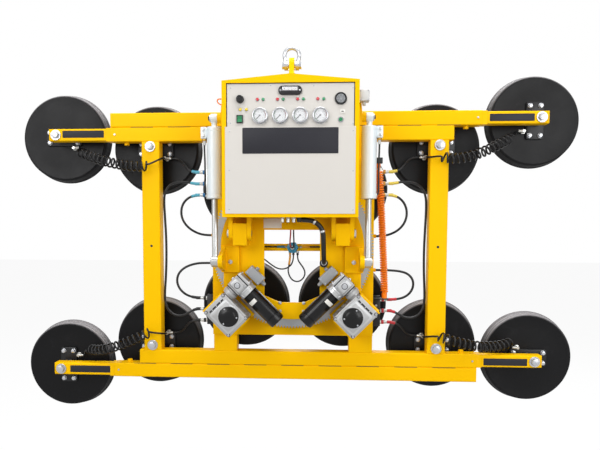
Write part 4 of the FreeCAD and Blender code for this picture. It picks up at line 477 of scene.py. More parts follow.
def outline(corners, thick, edge=0.8):
    """A plate from the corners of its face, in X and Z, with its thickness along Y."""
    part = bmesh.new()
    face = part.faces.new([part.verts.new((x / 1000, 0, z / 1000)) for x, z in corners])
    pushed = bmesh.ops.extrude_face_region(part, geom=[face])["geom"]
    bmesh.ops.translate(part, verts=[v for v in pushed if isinstance(v, bmesh.types.BMVert)],
                        vec=(0, thick / 1000, 0))
    bmesh.ops.recalc_face_normals(part, faces=part.faces)
    if edge:
        bevelled(part, part.edges[:], edge)
    return part


AHEAD, ALONG = Matrix.Rotation(math.pi / 2, 4, "X"), Matrix.Rotation(math.pi / 2, 4, "Y")


def aimed(at, along, roll=0.0):
    """The place of a shape whose own Z goes along a direction."""
    facing = along.to_track_quat("Z", "Y").to_matrix().to_4x4()
    return Matrix.Translation(at) @ facing @ Matrix.Rotation(roll, 4, "Z")


class Piece:
    """A piece on the bench: its mesh so far and the finishes that its faces carry."""

    def __init__(self, name):
        self.name, self.mesh, self.finishes = name, bmesh.new(), []

    def add(self, part, surface, place=Matrix.Identity(4)):
        if isinstance(place, Vector):
            place = Matrix.Translation(place)
        bmesh.ops.transform(part, matrix=place, verts=part.verts)
        if place.determinant() < 0:
            bmesh.ops.reverse_faces(part, faces=part.faces)
        if surface not in self.finishes:
            self.finishes.append(surface)
        for face in part.faces:
            face.material_index = self.finishes.index(surface)
        shape = bpy.data.meshes.new("part")
        part.to_mesh(shape)
        part.free()
        self.mesh.from_mesh(shape)
        bpy.data.meshes.remove(shape)

    def done(self, body, *nodes, slot):
        return shown(self.name, self.mesh, self.finishes, body, *nodes, slot=slot)


def shown(name, mesh, finishes, body, *nodes, slot):
    """Puts a piece in the scene on its body, standing for the solids named."""
    for face in mesh.faces:
        face.smooth = True
    shape = bpy.data.meshes.new(name)
    mesh.to_mesh(shape)
    mesh.free()
    shape.set_sharp_from_angle(angle=SHARP)
    for surface in finishes:
        shape.materials.append(surface)
    piece = placed(name, shape)
    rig.ride(piece, body)
    if nodes:
        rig.replaces(piece, *nodes)
    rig.slot(piece, slot)
    return piece


def dressed(node, choose, body, slot, edge=1.2, flat=0.4):
    """A solid as drawn, with its edges eased. choose is a finish, or finds one from a loose part's box."""
    mesh = bmesh.new()
    mesh.from_mesh(frame["nodes"][node].data)
    bmesh.ops.remove_doubles(mesh, verts=mesh.verts, dist=2e-6)
    if flat:
        bmesh.ops.dissolve_limit(mesh, angle_limit=math.radians(flat), verts=mesh.verts, edges=mesh.edges)
    finishes = []
    left = set(mesh.faces)
    while left:
        start = left.pop()
        part, edge_of = {start}, [start]
        while edge_of:
            for side in edge_of.pop().edges:
                for face in side.link_faces:
                    if face not in part:
                        part.add(face)
                        edge_of.append(face)
        left -= part
        corners = [v.co for face in part for v in face.verts]
        low = Vector([min(c[i] for c in corners) for i in range(3)])
        high = Vector([max(c[i] for c in corners) for i in range(3)])
        surface = choose if isinstance(choose, bpy.types.Material) else choose(low, high)
        if surface not in finishes:
            finishes.append(surface)
        for face in part:
            face.material_index = finishes.index(surface)
    piece = shown(f"{node}_finished", mesh, finishes, body, node, slot=slot)
    if edge:
        ease = piece.modifiers.new("eased_edges", "BEVEL")
        ease.width, ease.segments, ease.limit_method = edge / 1000, 2, "ANGLE"
        ease.angle_limit, ease.harden_normals = SHARP, True
    return piece


def bolt(piece, at, along, radius, length, washer, turn=0.2):
    """A hexagon head on its washer, facing along."""
    rise = 2.0
    piece.add(turned([(0, 0), (washer, 0), (washer, 1.4), (washer - 0.6, rise), (0, rise)], 32), ZINC,
              aimed(at, along))
    head = prism(6, radius, length - rise, radius * 0.12)
    piece.add(head, ZINC, aimed(at + along * rise / 1000, along, turn))


def cap_screw(piece, at, along, radius, length):
    """A round screw head with a hexagon recess."""
    profile = [(0, length * 0.45), (radius * 0.5, length * 0.45), (radius * 0.5, length),
               (radius * 0.86, length), (radius, length * 0.8), (radius, 0), (0, 0)]
    piece.add(turned(profile, 24), ZINC, aimed(at, along))


def pan_screw(piece, at, along, radius):
    """A small domed screw, with a thin black bar painted on for the shade of its slot."""
    dome = [(0, radius * 0.55), (radius * 0.5, radius * 0.48), (radius * 0.86, radius * 0.28), (radius, 0),
            (0, 0)]
    piece.add(turned(dome, 20), ZINC, aimed(at, along))
    # Painted shade: the black bar stands in for the dark inside the slot.
    slot = slab(radius * 1.3, radius * 0.22, radius * 0.1, 0)
    piece.add(slot, BLACK_MOULDED, aimed(at + along * radius * 0.54 / 1000, along, 0.6))


# Frame of square tubes, plates, columns and arms

YELLOW_SOLIDS = {
    "headstock": ("head_casing", "lifting_lug"),
    "tilt_frame": ("hinge_blocks", "rod_brackets", "drive_mounts"),
    "rotor": ("rotor_plate", "inner_columns", "outer_columns", "upper_beam", "lower_beam"),
    "arm_tl": ("arm_tl",), "arm_tr": ("arm_tr",), "arm_bl": ("arm_bl",), "arm_br": ("arm_br",),
}
for body, nodes in YELLOW_SOLIDS.items():
    for node in nodes:
        dressed(node, YELLOW, body, "yellow_paint")


def tilt_plate_finish(low, high):
    return YELLOW if high.x - low.x > 0.2 else BLACK_MOULDED


dressed("tilt_plate", tilt_plate_finish, "tilt_frame", "yellow_paint")
dressed("tilt_pins", ZINC, "headstock", "bright_steel", edge=0.8)
dressed("shackle_bow", ZINC, "shackle", "bright_steel", edge=0)
dressed("shackle_pin", ZINC, "shackle", "bright_steel", edge=0.8)
dressed("ring_gear", GEAR_STEEL, "rotor", "bright_steel", edge=0.4, flat=0)
dressed("bearing_race", GEAR_STEEL, "tilt_frame", "bright_steel", edge=0.8, flat=0)
for side in SIDES:
    dressed(f"{side}_pinion", GEAR_STEEL, f"{side}_pinion", "bright_steel", edge=0.4, flat=0)
    dressed(f"{side}_rod", CHROME, f"{side}_rod", "chrome_rod", edge=0.8)
for node, surface, slot in (
    ("battery", BLACK_MOULDED, "black_plastic"), ("vacuum_pump", CAST, "cast_alloy"),
    ("hydraulic_unit", BLACK_STEEL, "black_paint"),
):
    dressed(node, surface, "headstock", slot)


# Vacuum pads


def suction_pad(name, body, node, x, z, seat, upright, side, level, tee):
    """Disc, seal, bridge with its bolts, hub, spindle nut and hose fitting of one pad."""
    pad = Piece(name)
    here = aimed(spot(x, 0, z), BACK)
    pad.add(turned([(0, 95), (60, 95.6), (120, 96), (176, 95.4), (178.4, 95), (179.6, 95.4), (180.4, 96.6),
                    (180.6, 98.6), (150, 99), (150, 125), (134, 125), (133, 126.2), (129, 126.2),
                    (128, 125), (94, 125), (93, 126.2), (89, 126.2), (88, 125), (16, 125), (15, 126.5),
                    (0, 126.5)], 96), PAD_FACE, here)
    pad.add(turned([(150, 99), (180.5, 98.4), (185, 100.4), (186.2, 102), (187.6, 110), (188, 112),
                    (186.6, 112.8), (186.8, 114.6), (188.6, 115.4), (190, 125), (150, 125), (150, 99)], 96),
            SEAL, here)
    pad.add(turned([(160, 150), (160, 125.2), (189, 125.2), (191, 126.6), (191.4, 131), (190, 132.4),
                    (190.2, 134.6), (192.4, 136), (192.8, 140), (191.4, 141.4), (191.8, 143.6),
                    (194.2, 145), (195, 148.4), (193, 150), (186, 149.4), (176, 149.8), (168, 149.4),
                    (160, 150)], 96), SEAL, here)
    wide, tall = (72, 156) if upright else (156, 72)
    pad.add(slab(wide, 10, tall, 1.2, 9), BLACK_STEEL, spot(x, 90, z))
    for a in (-1, 1):
        for b in (-1, 1):
            step = (22 * a, 62 * b) if upright else (62 * a, 22 * b)
            bolt(pad, spot(x + step[0], 85, z + step[1]), FRONT, 9, 10, 10, turn=0.3 + a * 0.4 + b * 0.9)
    pad.add(turned([(12, seat[1]), (25, seat[1]), (25, seat[1] + 4), (22, seat[1] + 7), (22, 78), (25, 81),
                    (25, 85), (12, 85)], 40), BLACK_STEEL, here)
    front = seat[0]
    pad.add(turned([(11.5, -front), (22, -front), (22, 4.2 - front), (21.2, 5 - front), (11.5, 5 - front)],
                   40), ZINC, aimed(spot(x, 0, z), FRONT))
    pad.add(prism(6, 16, 11, 1.4), ZINC, aimed(spot(x, front - 5, z), FRONT, 0.2))
    pad.add(turned([(0, 16), (6.4, 16), (8, 14.6), (8, 0), (0, 0)], 24), ZINC,
            aimed(spot(x, front + 0.4, z), FRONT))
    inset, drop, reach = (48, 42, 45) if tee else (48, 45, 27)
    fx, fz = x - side * inset, z - level * drop
    pad.add(prism(6, 11, 8, 1.0), NICKEL, aimed(spot(fx, 95, fz), FRONT))
    pad.add(turned([(0, reach), (5.6, reach), (7, reach - 1.4), (7, 0), (0, 0)], 28), NICKEL,
            aimed(spot(fx, 95, fz), FRONT))
    inward = RIGHT * -side
    pad.add(turned([(0, 0), (6.4, 0), (6.4, 9), (5, 10), (5, 13), (5.6, 13.2), (4.6, 16), (5.6, 16.4),
                    (4.6, 19.4), (5.4, 19.8), (4.4, 22), (0, 22)], 28), NICKEL,
            aimed(spot(fx, 75, fz), inward))
    return pad.done(body, node, slot="pad_alloy")


PAD_ARMS = {"tl": (-1, 1, 475, False), "tr": (1, 1, 535, True), "bl": (-1, -1, -535, True),
            "br": (1, -1, -475, False)}
for corner, (side, level, z, upright) in PAD_ARMS.items():
    suction_pad(f"suction_pad_{corner}", f"arm_{corner}", f"pad_{corner}", 1014 * side, z, (4.3, 55.7),
                upright, side, level, False)
for side_name, side in SIDES.items():
    for level_name, level in LEVELS.items():
        suction_pad(f"middle_pad_{level_name}_{side_name}", "rotor", "fixed_pads", 605 * side, 424 * level,
                    (0, 60), False, side, level, True)
        suction_pad(f"inner_pad_{level_name}_{side_name}", "rotor", "fixed_pads", 214 * side, 252 * level,
                    (60, 72), True, side, level, False)


# Instrument panel

PANEL_FACE, COVER_FACE = -235, -243
GAUGE_ROW, LAMP_ROW, SOUNDER_ROW = 505, 566, 567
DIAL_START, DIAL_SWEEP = 225, 270


def panel_finish(low, high):
    if high.x - low.x > 0.3:
        return PANEL
    return BLACK_MOULDED if high.x < 0 else BEZEL


dressed("control_panel", panel_finish, "headstock", "panel_grey", edge=0.5)
dressed("front_cover", PANEL, "headstock", "panel_grey", edge=0.8)

fixings = Piece("panel_screws")
for x, z in ((-225, 609), (-73, 617), (89, 615), (235, 606), (-226, 478), (237, 475)):
    pan_screw(fixings, spot(x, PANEL_FACE, z), FRONT, 2.6)
for x, z in ((-229, 447), (237, 446), (-231, 300), (238, 297), (-232, 152), (239, 151)):
    pan_screw(fixings, spot(x, COVER_FACE, z), FRONT, 2.6)
fixings.done("headstock", slot="bright_steel")

# Painted shadow: dark strips along the top and both sides of the upper panel stand in for the shade where it sits
# recessed in the frame.
recess_shade = Piece("painted_recess_shadow")
recess_shade.add(slab(485, 2.4, 2.6, 0.6), BLACK_MOULDED, spot(0, -235.8, 625.4))
for side in SIDES.values():
    recess_shade.add(slab(2.6, 2.4, 161, 0.6), BLACK_MOULDED, spot(241.4 * side, -235.8, 545))
recess_shade.done("headstock", slot="black_plastic")

name_plate = Piece("plain_name_plate")
name_plate.add(slab(363, 1.2, 97, 0.4, 3), PLATE_DARK, spot(1, -243.6, 411))
name_plate.done("headstock", slot="black_plastic")

GAUGES = {1: -114, 2: -38, 3: 38, 4: 114}


def dial_text(words, height):
    """Upright lettering as a flat mesh about its own middle, to be set into a dial."""
    curve = bpy.data.curves.new("figures", "FONT")
    curve.body, curve.size, curve.align_x, curve.align_y = words, height / 1000, "CENTER", "CENTER"
    curve.resolution_u = 2
    writer = placed("figures", curve)
    bpy.context.view_layer.update()
    flat = bpy.data.meshes.new_from_object(writer)
    part = bmesh.new()
    part.from_mesh(flat)
    bpy.data.objects.remove(writer)
    bpy.data.curves.remove(curve)
    bpy.data.meshes.remove(flat)
    return part


def gauge(number, x):
    """Case with a rolled bezel and a flange, white dial, scale and figures."""
    case = Piece(f"vacuum_gauge_{number}")
    here = aimed(spot(x, PANEL_FACE, GAUGE_ROW), FRONT)
    case.add(turned([(0, 0.2), (31, 0.2), (31, 2.4), (30.2, 3), (27.6, 3.2), (27, 3.8), (27, 10.4),
                     (28.2, 11), (29.2, 12.2), (29.4, 14), (28.8, 15.4), (27.6, 16.2), (25.8, 16.4),
                     (24.4, 16.1), (24, 15.4), (24, 9.2), (0, 9.2)], 64), BEZEL, here)
    # Painted shade: a thin black lining on the bezel's inner wall stands in for the shadow inside the deep rim.
    case.add(turned([(23.9, 15.3), (23.9, 9.3), (24.1, 9.3), (24.1, 15.3), (23.9, 15.3)], 64),
             BLACK_MOULDED, here)
    case.add(turned([(0, 9.5), (23.9, 9.5), (23.9, 9.3), (0, 9.3)], 64), DIAL, here)
    upright = here @ Matrix.Rotation(math.pi, 4, "Z")

    def on_dial(share, out, rise):
        turn = math.radians(DIAL_START - DIAL_SWEEP * share)
        way = Matrix.Rotation(turn, 4, "Z") @ Matrix.Translation((out / 1000, 0, rise / 1000))
        return upright @ way

    for step in range(51):
        long = 3.6 if step % 10 == 0 else 2.6 if step % 5 == 0 else 1.6
        tick = slab(long, 0.5 if step % 5 == 0 else 0.28, 0.1, 0)
        case.add(tick, DIAL_INK, on_dial(step / 50, 21.4 - long / 2, 9.56))
    for step in [*range(7), *range(16, 28)]:
        surface = DIAL_RED if step < 7 else DIAL_GREEN
        case.add(slab(1.3, 4.4, 0.08, 0), surface, on_dial((step + 0.5) / 28, 22.4, 9.55))
    for figure in range(6):
        turn = math.radians(DIAL_START - DIAL_SWEEP * figure / 5)
        aside, rise = math.cos(turn) * 14.4, math.sin(turn) * 14.4
        middle = Matrix.Translation(spot(x + aside, -244.62, GAUGE_ROW + rise))
        case.add(dial_text(str(figure * 2), 4.6), DIAL_INK, middle @ AHEAD)
    case.add(turned([(0, 10.3), (2.6, 10.3), (3, 9.9), (3, 9.4), (0, 9.4)], 20), BEZEL, here)
    return case.done("headstock", "gauge_cases", slot="gauge_bezel")


for number, x in GAUGES.items():
    gauge(number, x)
    dressed(f"needle_{number}", DIAL_INK, f"needle_{number}", "needle_paint", edge=0.15)
dressed("gauge_lenses", GLASS, "headstock", "gauge_glass", edge=0.3)

lamps = Piece("status_lamp_row")
LAMPS = [(x - 10, LAMP_ROW, LAMP_RED) for x in GAUGES.values()]
LAMPS += [(x + 12, LAMP_ROW, LAMP_GREEN) for x in GAUGES.values()]
LAMPS += [(x, 529, LAMP_AMBER) for x in (-189, -166)]
for x, z, surface in LAMPS:
    here = aimed(spot(x, PANEL_FACE, z), FRONT)
    lamps.add(turned([(0, 0), (6.8, 0), (6.8, 1.4), (6.3, 2), (5.7, 1.8), (0, 1.8)], 32), BEZEL, here)
    lamps.add(turned([(5.8, 1.6), (5.8, 3.4), (5, 4.9), (3, 5.8), (0, 6.2)], 32), surface, here)
lamps.done("headstock", "status_lamps", slot="lamp_lens")

alarm = Piece("alarm_and_horn")
here = aimed(spot(-190, PANEL_FACE, SOUNDER_ROW), FRONT)
alarm.add(turned([(0, 0), (15, 0), (15, 3), (14, 3.6), (13, 4), (13, 17), (12, 19.2), (10, 20), (7.5, 20),
                  (6.5, 18.6), (3, 18.6), (2.4, 20), (0, 20)], 48), BLACK_MOULDED, here)
for n in range(16):
    rib = slab(1.2, 1.4, 12, 0.3)
    turn = math.tau * n / 16
    alarm.add(rib, BLACK_MOULDED,
              here @ Matrix.Rotation(turn, 4, "Z") @ Matrix.Translation((0.0133, 0, 0.0105)))
here = aimed(spot(190, PANEL_FACE, SOUNDER_ROW), FRONT)
alarm.add(turned([(0, 0), (23, 0), (23, 4), (22, 6.2), (20, 7), (18.4, 6.4), (17.6, 4.6), (0, 4.6)], 64),
          BLACK_MOULDED, here)
for radius in (4.0, 7.6, 11.2, 14.8):
    alarm.add(turned([(radius - 1.1, 4.6), (radius - 1.1, 5.6), (radius, 6.0), (radius + 1.1, 5.6),
                      (radius + 1.1, 4.6)], 48), GREY_MOULDED, here)
alarm.add(turned([(0, 6.2), (1.8, 6.0), (2.2, 4.6), (0, 4.6)], 24), GREY_MOULDED, here)
for n in range(6):
    alarm.add(slab(16, 1.3, 1.2, 0.2), GREY_MOULDED,
              here @ Matrix.Rotation(math.tau * n / 6, 4, "Z") @ Matrix.Translation((0.0088, 0, 0.0050)))
alarm.done("headstock", "sounders", slot="black_plastic")

meter = Piece("hour_counter")
meter.add(slab(90, 8, 34, 1.6, 16.8), BLACK_MOULDED, spot(0, -239, 598))
meter.add(slab(58, 1.2, 15.6, 0.4, 2), BEZEL, spot(0, -243, 603.5))
meter.add(slab(55, 1.4, 13, 0.2, 1), DIAL_INK, spot(0, -243.1, 603.5))
for n in range(5):
    x = (n - 2) * 10.6
    meter.add(slab(9.8, 0.8, 11, 0.2, 0.8), DIAL, spot(x, -243.6, 603.5))
    figure = Matrix.Translation(spot(x, -244.06, 603.5)) @ AHEAD
    meter.add(dial_text("01730"[n], 9.0), DIAL_INK, figure)
for x in (-36, 36):
    pan_screw(meter, spot(x, -243, 598), FRONT, 3.4)
meter.done("headstock", "hour_meter", slot="black_plastic")

key = Piece("key_switch")
key.add(slab(17, 2, 13, 0.5, 1.4), PLATE_PALE, spot(197, -236, 519))
# Painted shade: a dark bar stands in for the shade inside the key slot.
key.add(slab(9, 0.8, 3.6, 0.2, 1.2), DIAL_INK, spot(197, -237.1, 519))
key.done("headstock", slot="gauge_bezel")

dressed("rocker_switch", GREEN_MOULDED, "rocker", "green_plastic", edge=0.5)
button = Piece("green_push_button")
button.add(turned([(0, 0), (3.5, 0), (3.5, 6.3), (7.2, 6.3), (7.2, 9.0), (6.9, 9.6), (6.3, 9.9), (5.2, 9.7),
                   (0, 9.5)], 40), GREEN_MOULDED, aimed(spot(190, -232, 489), FRONT))
button.done("button", "reset_button", slot="green_plastic")


# Side boxes, elbows and plates under the casing

RECEIVER_X, RECEIVER_Z = 279, 581
receiver = Piece("receiver_unit")
receiver.add(slab(38, 32, 42, 2.2), PALE_MOULDED, spot(RECEIVER_X, -196, RECEIVER_Z))
receiver.add(slab(38, 12, 42, 2.2), PALE_MOULDED, spot(RECEIVER_X, -219, RECEIVER_Z))
receiver.add(slab(36.6, 2, 40.6, 0), BLACK_MOULDED, spot(RECEIVER_X, -212.5, RECEIVER_Z))
for x in (-14, 14):
    for z in (-16, 16):
        cap_screw(receiver, spot(RECEIVER_X + x, -225, RECEIVER_Z + z), FRONT, 2.6, 1.2)
here = aimed(spot(RECEIVER_X, -202.5, 560), DOWN)
receiver.add(prism(6, 8, 5, 0.8), PALE_MOULDED, here)
receiver.add(turned([(0, 15), (4, 15), (6, 14), (7, 11), (7, 5), (0, 5)], 28), PALE_MOULDED, here)
receiver.done("headstock", "receiver_box", slot="grey_plastic")

ELBOW_DEPTH, CASING_BASE = -200, 123
elbows = Piece("outlet_elbows")
for x in (13, -9, -31):
    here = aimed(spot(x, ELBOW_DEPTH, CASING_BASE), DOWN)
    elbows.add(prism(6, 8, 6, 0.8), PALE_MOULDED, here)
    elbows.add(turned([(0, 20), (5, 20), (7, 18), (7, 6), (0, 6)], 28), NICKEL, here)
    elbows.add(turned([(0, 22), (4.2, 22), (4.7, 20.5), (4.2, 17), (4.7, 16), (4.7, 0), (0, 0)], 24),
               BLACK_MOULDED, aimed(spot(x, ELBOW_DEPTH, 110), BACK))
    elbows.add(turned([(4.6, 7), (6, 7.4), (6, 11), (4.6, 11.4)], 24), RED if x == 13 else PALE_MOULDED,
               aimed(spot(x, ELBOW_DEPTH, 110), BACK))
here = aimed(spot(35, ELBOW_DEPTH, CASING_BASE), DOWN)
elbows.add(prism(6, 11.5, 6, 0.8), BLACK_MOULDED, here)
elbows.add(turned([(0, 19), (7, 19), (9.4, 17), (10, 14), (10, 6), (0, 6)], 32), BLACK_MOULDED, here)
elbows.add(turned([(0, 0), (9.5, 0), (9.5, 9), (0, 9.6)], 32), BLACK_MOULDED,
           aimed(spot(35, ELBOW_DEPTH, 113.5), RIGHT))
elbows.done("headstock", "port_elbows", slot="black_plastic")


# Tilt cylinders

CYLINDER_DEPTH, TOP_PIN = -150, 512


def smooth_line(name, places, diameter, surface, fine, round_steps):
    """One smooth round line that its places pull."""
    line = bpy.data.curves.new(name, "CURVE")
    line.dimensions, line.resolution_u = "3D", fine
    track = line.splines.new("NURBS")
    track.points.add(len(places) - 1)
    for point, place in zip(track.points, places):
        point.co = (*place, 1.0)
    track.order_u, track.use_endpoint_u = 3, True
    line.bevel_depth, line.bevel_resolution, line.use_fill_caps = diameter / 2000, round_steps, True
    if surface:
        line.materials.append(surface)
    return placed(name, line)


def hose_line(name, route, diameter, surface):
    """A hose on one smooth line through its route."""
    return smooth_line(name, [spot(*place) for place in route], diameter, surface, 12, 5)


def tube(route, diameter):
    """A bent pipe or sleeve as a shape for the bench."""
    line = hose_line("pipe", route, diameter, None)
    bpy.context.view_layer.update()
    drawn = bpy.data.meshes.new_from_object(line)
    part = bmesh.new()
    part.from_mesh(drawn)
    bpy.data.objects.remove(line)
    bpy.data.meshes.remove(drawn)
    return part


def tilt_barrel(side_name, side):
    """White barrel with its rod gland, head, top eye and valve block."""
    barrel = Piece(f"{side_name}_cylinder_barrel")
    here = aimed(spot(304 * side, CYLINDER_DEPTH, 196), UP)
    barrel.add(turned([(12.6, 0), (20, 0), (20.6, 1.2), (28.6, 1.2), (30, 2.6), (30, 16), (29.2, 16.8),
                       (29.2, 18.2), (30, 19), (30, 262), (29.2, 262.8), (29.2, 264.2), (30, 265),
                       (30, 278.6), (28.4, 281), (14, 281), (11, 284), (11, 306), (0, 306)], 64),
               BARREL_WHITE, here)
    barrel.add(turned([(12.5, -1.4), (16.6, -1.4), (17.4, 0), (17.4, 1.4), (12.5, 1.4)], 40), BLACK_MOULDED,
               here)
    eye = aimed(spot(291 * side, CYLINDER_DEPTH, TOP_PIN), RIGHT * side)
    barrel.add(turned([(10.05, 0), (16.8, 0), (18, 1.2), (18, 24.8), (16.8, 26), (10.05, 26)], 48),
               BARREL_WHITE, eye)
    barrel.add(slab(22, 30, 45, 1.6), BARREL_WHITE, spot(345 * side, CYLINDER_DEPTH, 454.5))
    barrel.add(slab(5.6, 24, 37, 1.0), BARREL_WHITE, spot(332.4 * side, CYLINDER_DEPTH, 454.5))
    for z in (466, 443):
        barrel.add(prism(6, 7, 3, 0.6), NICKEL, aimed(spot(345 * side, -165, z), FRONT, 0.2))
        cap_screw(barrel, spot(345 * side, -168, z), FRONT, 3.6, 1.6)
    here = aimed(spot(344 * side, CYLINDER_DEPTH, 432), DOWN)
    barrel.add(prism(6, 9, 9, 1.0), BRASS, here)
    barrel.add(turned([(0, 24), (5.2, 24), (6.4, 22.6), (6.4, 9), (0, 9)], 28), PALE_MOULDED, here)
    pipe = [(344, 409), (344, 390), (342, 340), (342, 270), (343, 232), (341, 216), (334, 210), (326, 209)]
    route = [(x * side, CYLINDER_DEPTH, z) for x, z in pipe]
    barrel.add(tube(route, 7), BLACK_MOULDED)
    barrel.add(prism(6, 7, 5, 0.6), NICKEL, aimed(spot(332 * side, CYLINDER_DEPTH, 209.5), RIGHT * side))
    return barrel.done(f"{side_name}_barrel", f"{side_name}_barrel", slot="white_paint")


for side_name, side in SIDES.items():
    tilt_barrel(side_name, side)


# Slewing drives

GEARBOX_FACE, MOTOR_DEPTH, MOTOR_RISE, STAGE_X = -185, -127, 116, -63.5
SOCKET_HEAD = [(0, 2), (2.2, 2), (2.2, 4), (3.6, 4), (4, 3.4), (4, 0), (0, 0)]


def leaning(side, x, z):
    """Gives places about a point of the tilt plate, on a line that leans 45 degrees to the side named."""
    corner = Matrix.Translation(Vector((x, 0, z + SLEW_AXIS)) / 1000) @ Matrix.Rotation(math.pi / 4, 4, "Y")
    mirrored = Matrix.Diagonal((-side, 1, 1, 1)) @ corner

    def at(along, deep, rise):
        return mirrored @ Matrix.Translation(Vector((along, deep + BEAM_FRONT, rise)) / 1000)
    return at


def gearbox(side_name, at):
    """Worm gearbox with its round cap, and the first stage that the motor drives."""
    box = Piece(f"{side_name}_gearbox_unit")
    box.add(slab(133, 92, 104, 3.0), CAST, at(-11.5, -126, -5))
    box.add(slab(143, 12, 114, 2.0, 8), CAST, at(-11.5, -83, -5))
    box.add(slab(143, 13, 114, 2.0, 8), CAST, at(-11.5, -178.5, -5))
    box.add(slab(108, 5.4, 95, 1.2, 6), MACHINED, at(-3.5, -187.3, -5))
    box.add(slab(92, 3, 80, 0.8, 6), CAST, at(-3.5, -190, -5))
    # Painted shadow: a dark strip stands in for the shaded gap between the housing and its front plate, with small
    # ribs across it.
    box.add(slab(7, 0.6, 76, 0), DIAL_INK, at(-64, -185.2, -5))
    for n in (-28, -5, 18):
        box.add(slab(8, 2.4, 4, 0.4), CAST, at(-64, -186, n))
    # Painted shadow: the dark disc under each bolt stands in for the shade of its counterbore.
    for u in (-75, 52):
        for n in (-54, 44):
            box.add(turned([(0, 0.5), (7, 0.5), (7.4, 0), (0, 0)], 24), DIAL_INK,
                    at(u, GEARBOX_FACE, n) @ AHEAD)
            box.add(turned([(0, 2.4), (2.6, 2.4), (2.6, 5), (4.4, 5), (5, 4.2), (5, 0), (0, 0)], 24), ZINC,
                    at(u, GEARBOX_FACE, n) @ AHEAD)
    for u in (-66, -40, -14, 12, 38):
        box.add(slab(6, 84, 9, 1.0), CAST, at(u, -131, -57.5))
    for u in (-14, 12, 38):
        box.add(slab(6, 84, 9, 1.0), CAST, at(u, -131, 47.5))
    box.add(turned([(46, 0), (46, 4.4), (44.6, 5.6), (41.4, 6), (40.8, 6), (40.8, 0)], 56), MACHINED,
            at(0, -186, 0) @ AHEAD)
    box.add(turned([(0, 14.4), (14, 14), (24, 12.8), (27.6, 11.4), (29, 10.6), (34, 10.4), (38.6, 8.8),
                    (40.4, 6), (40.6, 0), (0, 0)], 56), MOTOR_BLACK, at(0, -190, 0) @ AHEAD)
    for turn in (0.7, 2.8, 4.9):
        box.add(turned([(0, 2), (2.4, 1.8), (3.2, 1), (3.4, 0), (0, 0)], 16), ZINC,
                at(33.4 * math.cos(turn), -200.2, 33.4 * math.sin(turn)) @ AHEAD)
    box.add(turned([(27, 0), (27, 6), (30, 8), (30, 20), (26, 22), (26, 34), (0, 34)], 40), CAST,
            at(STAGE_X, MOTOR_DEPTH, 50))
    box.add(slab(63, 68, 54, 5.0), CAST, at(STAGE_X, MOTOR_DEPTH, 109))
    box.add(slab(59, 64, 4, 0), BLACK_MOULDED, at(STAGE_X, MOTOR_DEPTH, 137.5))
    box.add(slab(63, 68, 11, 2.0, 6, 2), MACHINED, at(STAGE_X, MOTOR_DEPTH, 144.5))
    box.add(slab(63.4, 68.4, 1.2, 0), BLACK_MOULDED, at(STAGE_X, MOTOR_DEPTH, 90))
    box.add(slab(58, 62, 3, 0), BLACK_MOULDED, at(STAGE_X, MOTOR_DEPTH, 80.6))
    box.add(slab(46, 4, 34, 1.2, 6), MACHINED, at(STAGE_X, -162, 108))
    # Painted shadow: a dark disc round the plug stands in for the shade of its recess.
    box.add(turned([(0, 0.5), (12.6, 0.5), (12.6, 0), (0, 0)], 28), DIAL_INK,
            at(STAGE_X, -164, 108) @ AHEAD)
    box.add(turned([(0, 3.4), (8.4, 3.4), (10, 2.2), (10, 0), (0, 0)], 28), ZINC,
            at(STAGE_X, -164, 108) @ AHEAD)
    for u in (-88, -39):
        for deep in (-154, -100):
            box.add(turned(SOCKET_HEAD, 20), ZINC, at(u, deep, 150))
        box.add(turned(SOCKET_HEAD, 20), ZINC,
                at(u, -160.5, 128) @ AHEAD)
    box.add(prism(6, 8, 6, 0.8), ZINC, at(-95, MOTOR_DEPTH, 112) @ Matrix.Rotation(-math.pi / 2, 4, "Y"))
    box.done("tilt_frame", "gearboxes", slot="cast_alloy")


def drive_motor(side_name, at):
    """Black motor with its flange, brush caps and bare label."""
    motor = Piece(f"{side_name}_drive_motor")
    motor.add(turned([(0, 0), (38, 0), (38, 7), (36, 9), (36, 15), (38, 17), (38, 24), (0, 24)], 56),
              MACHINED, at(-32, MOTOR_DEPTH, MOTOR_RISE) @ ALONG)
    for n in range(4):
        turn = math.tau * (n + 0.5) / 4
        motor.add(slab(10, 12, 20, 2.0), MACHINED,
                  at(-20, MOTOR_DEPTH, MOTOR_RISE) @ ALONG @ Matrix.Rotation(turn, 4, "Z")
                  @ Matrix.Translation((0.034, 0, 0)))
    motor.add(turned([(0, 0), (34, 0), (34, 2), (33, 3), (33, 4.6), (34, 5.6), (34, 128), (32.6, 129),
                      (32.6, 131.6), (34.4, 132.6), (34.4, 157), (32, 162.4), (28, 164), (10, 164),
                      (9, 162), (0, 162)], 56), MOTOR_BLACK, at(-8, MOTOR_DEPTH, MOTOR_RISE) @ ALONG)
    for turn in (0.6, 0.6 + math.pi):
        motor.add(turned([(0, 3), (5, 3), (6, 2), (6, 0), (0, 0)], 24), BLACK_MOULDED,
                  at(-8 + 144, MOTOR_DEPTH, MOTOR_RISE) @ Matrix.Rotation(turn, 4, "X")
                  @ Matrix.Translation((0, 0, 0.0325)))
    for step in range(6):
        lean = Matrix.Rotation(0.85 - 0.18 * step, 4, "X")
        motor.add(slab(17, 0.8, 6.3, 0), PLATE_PALE,
                  at(28, MOTOR_DEPTH, MOTOR_RISE) @ lean @ Matrix.Translation((0, -0.0342, 0)))
    motor.done("tilt_frame", "drive_motors", slot="black_paint")


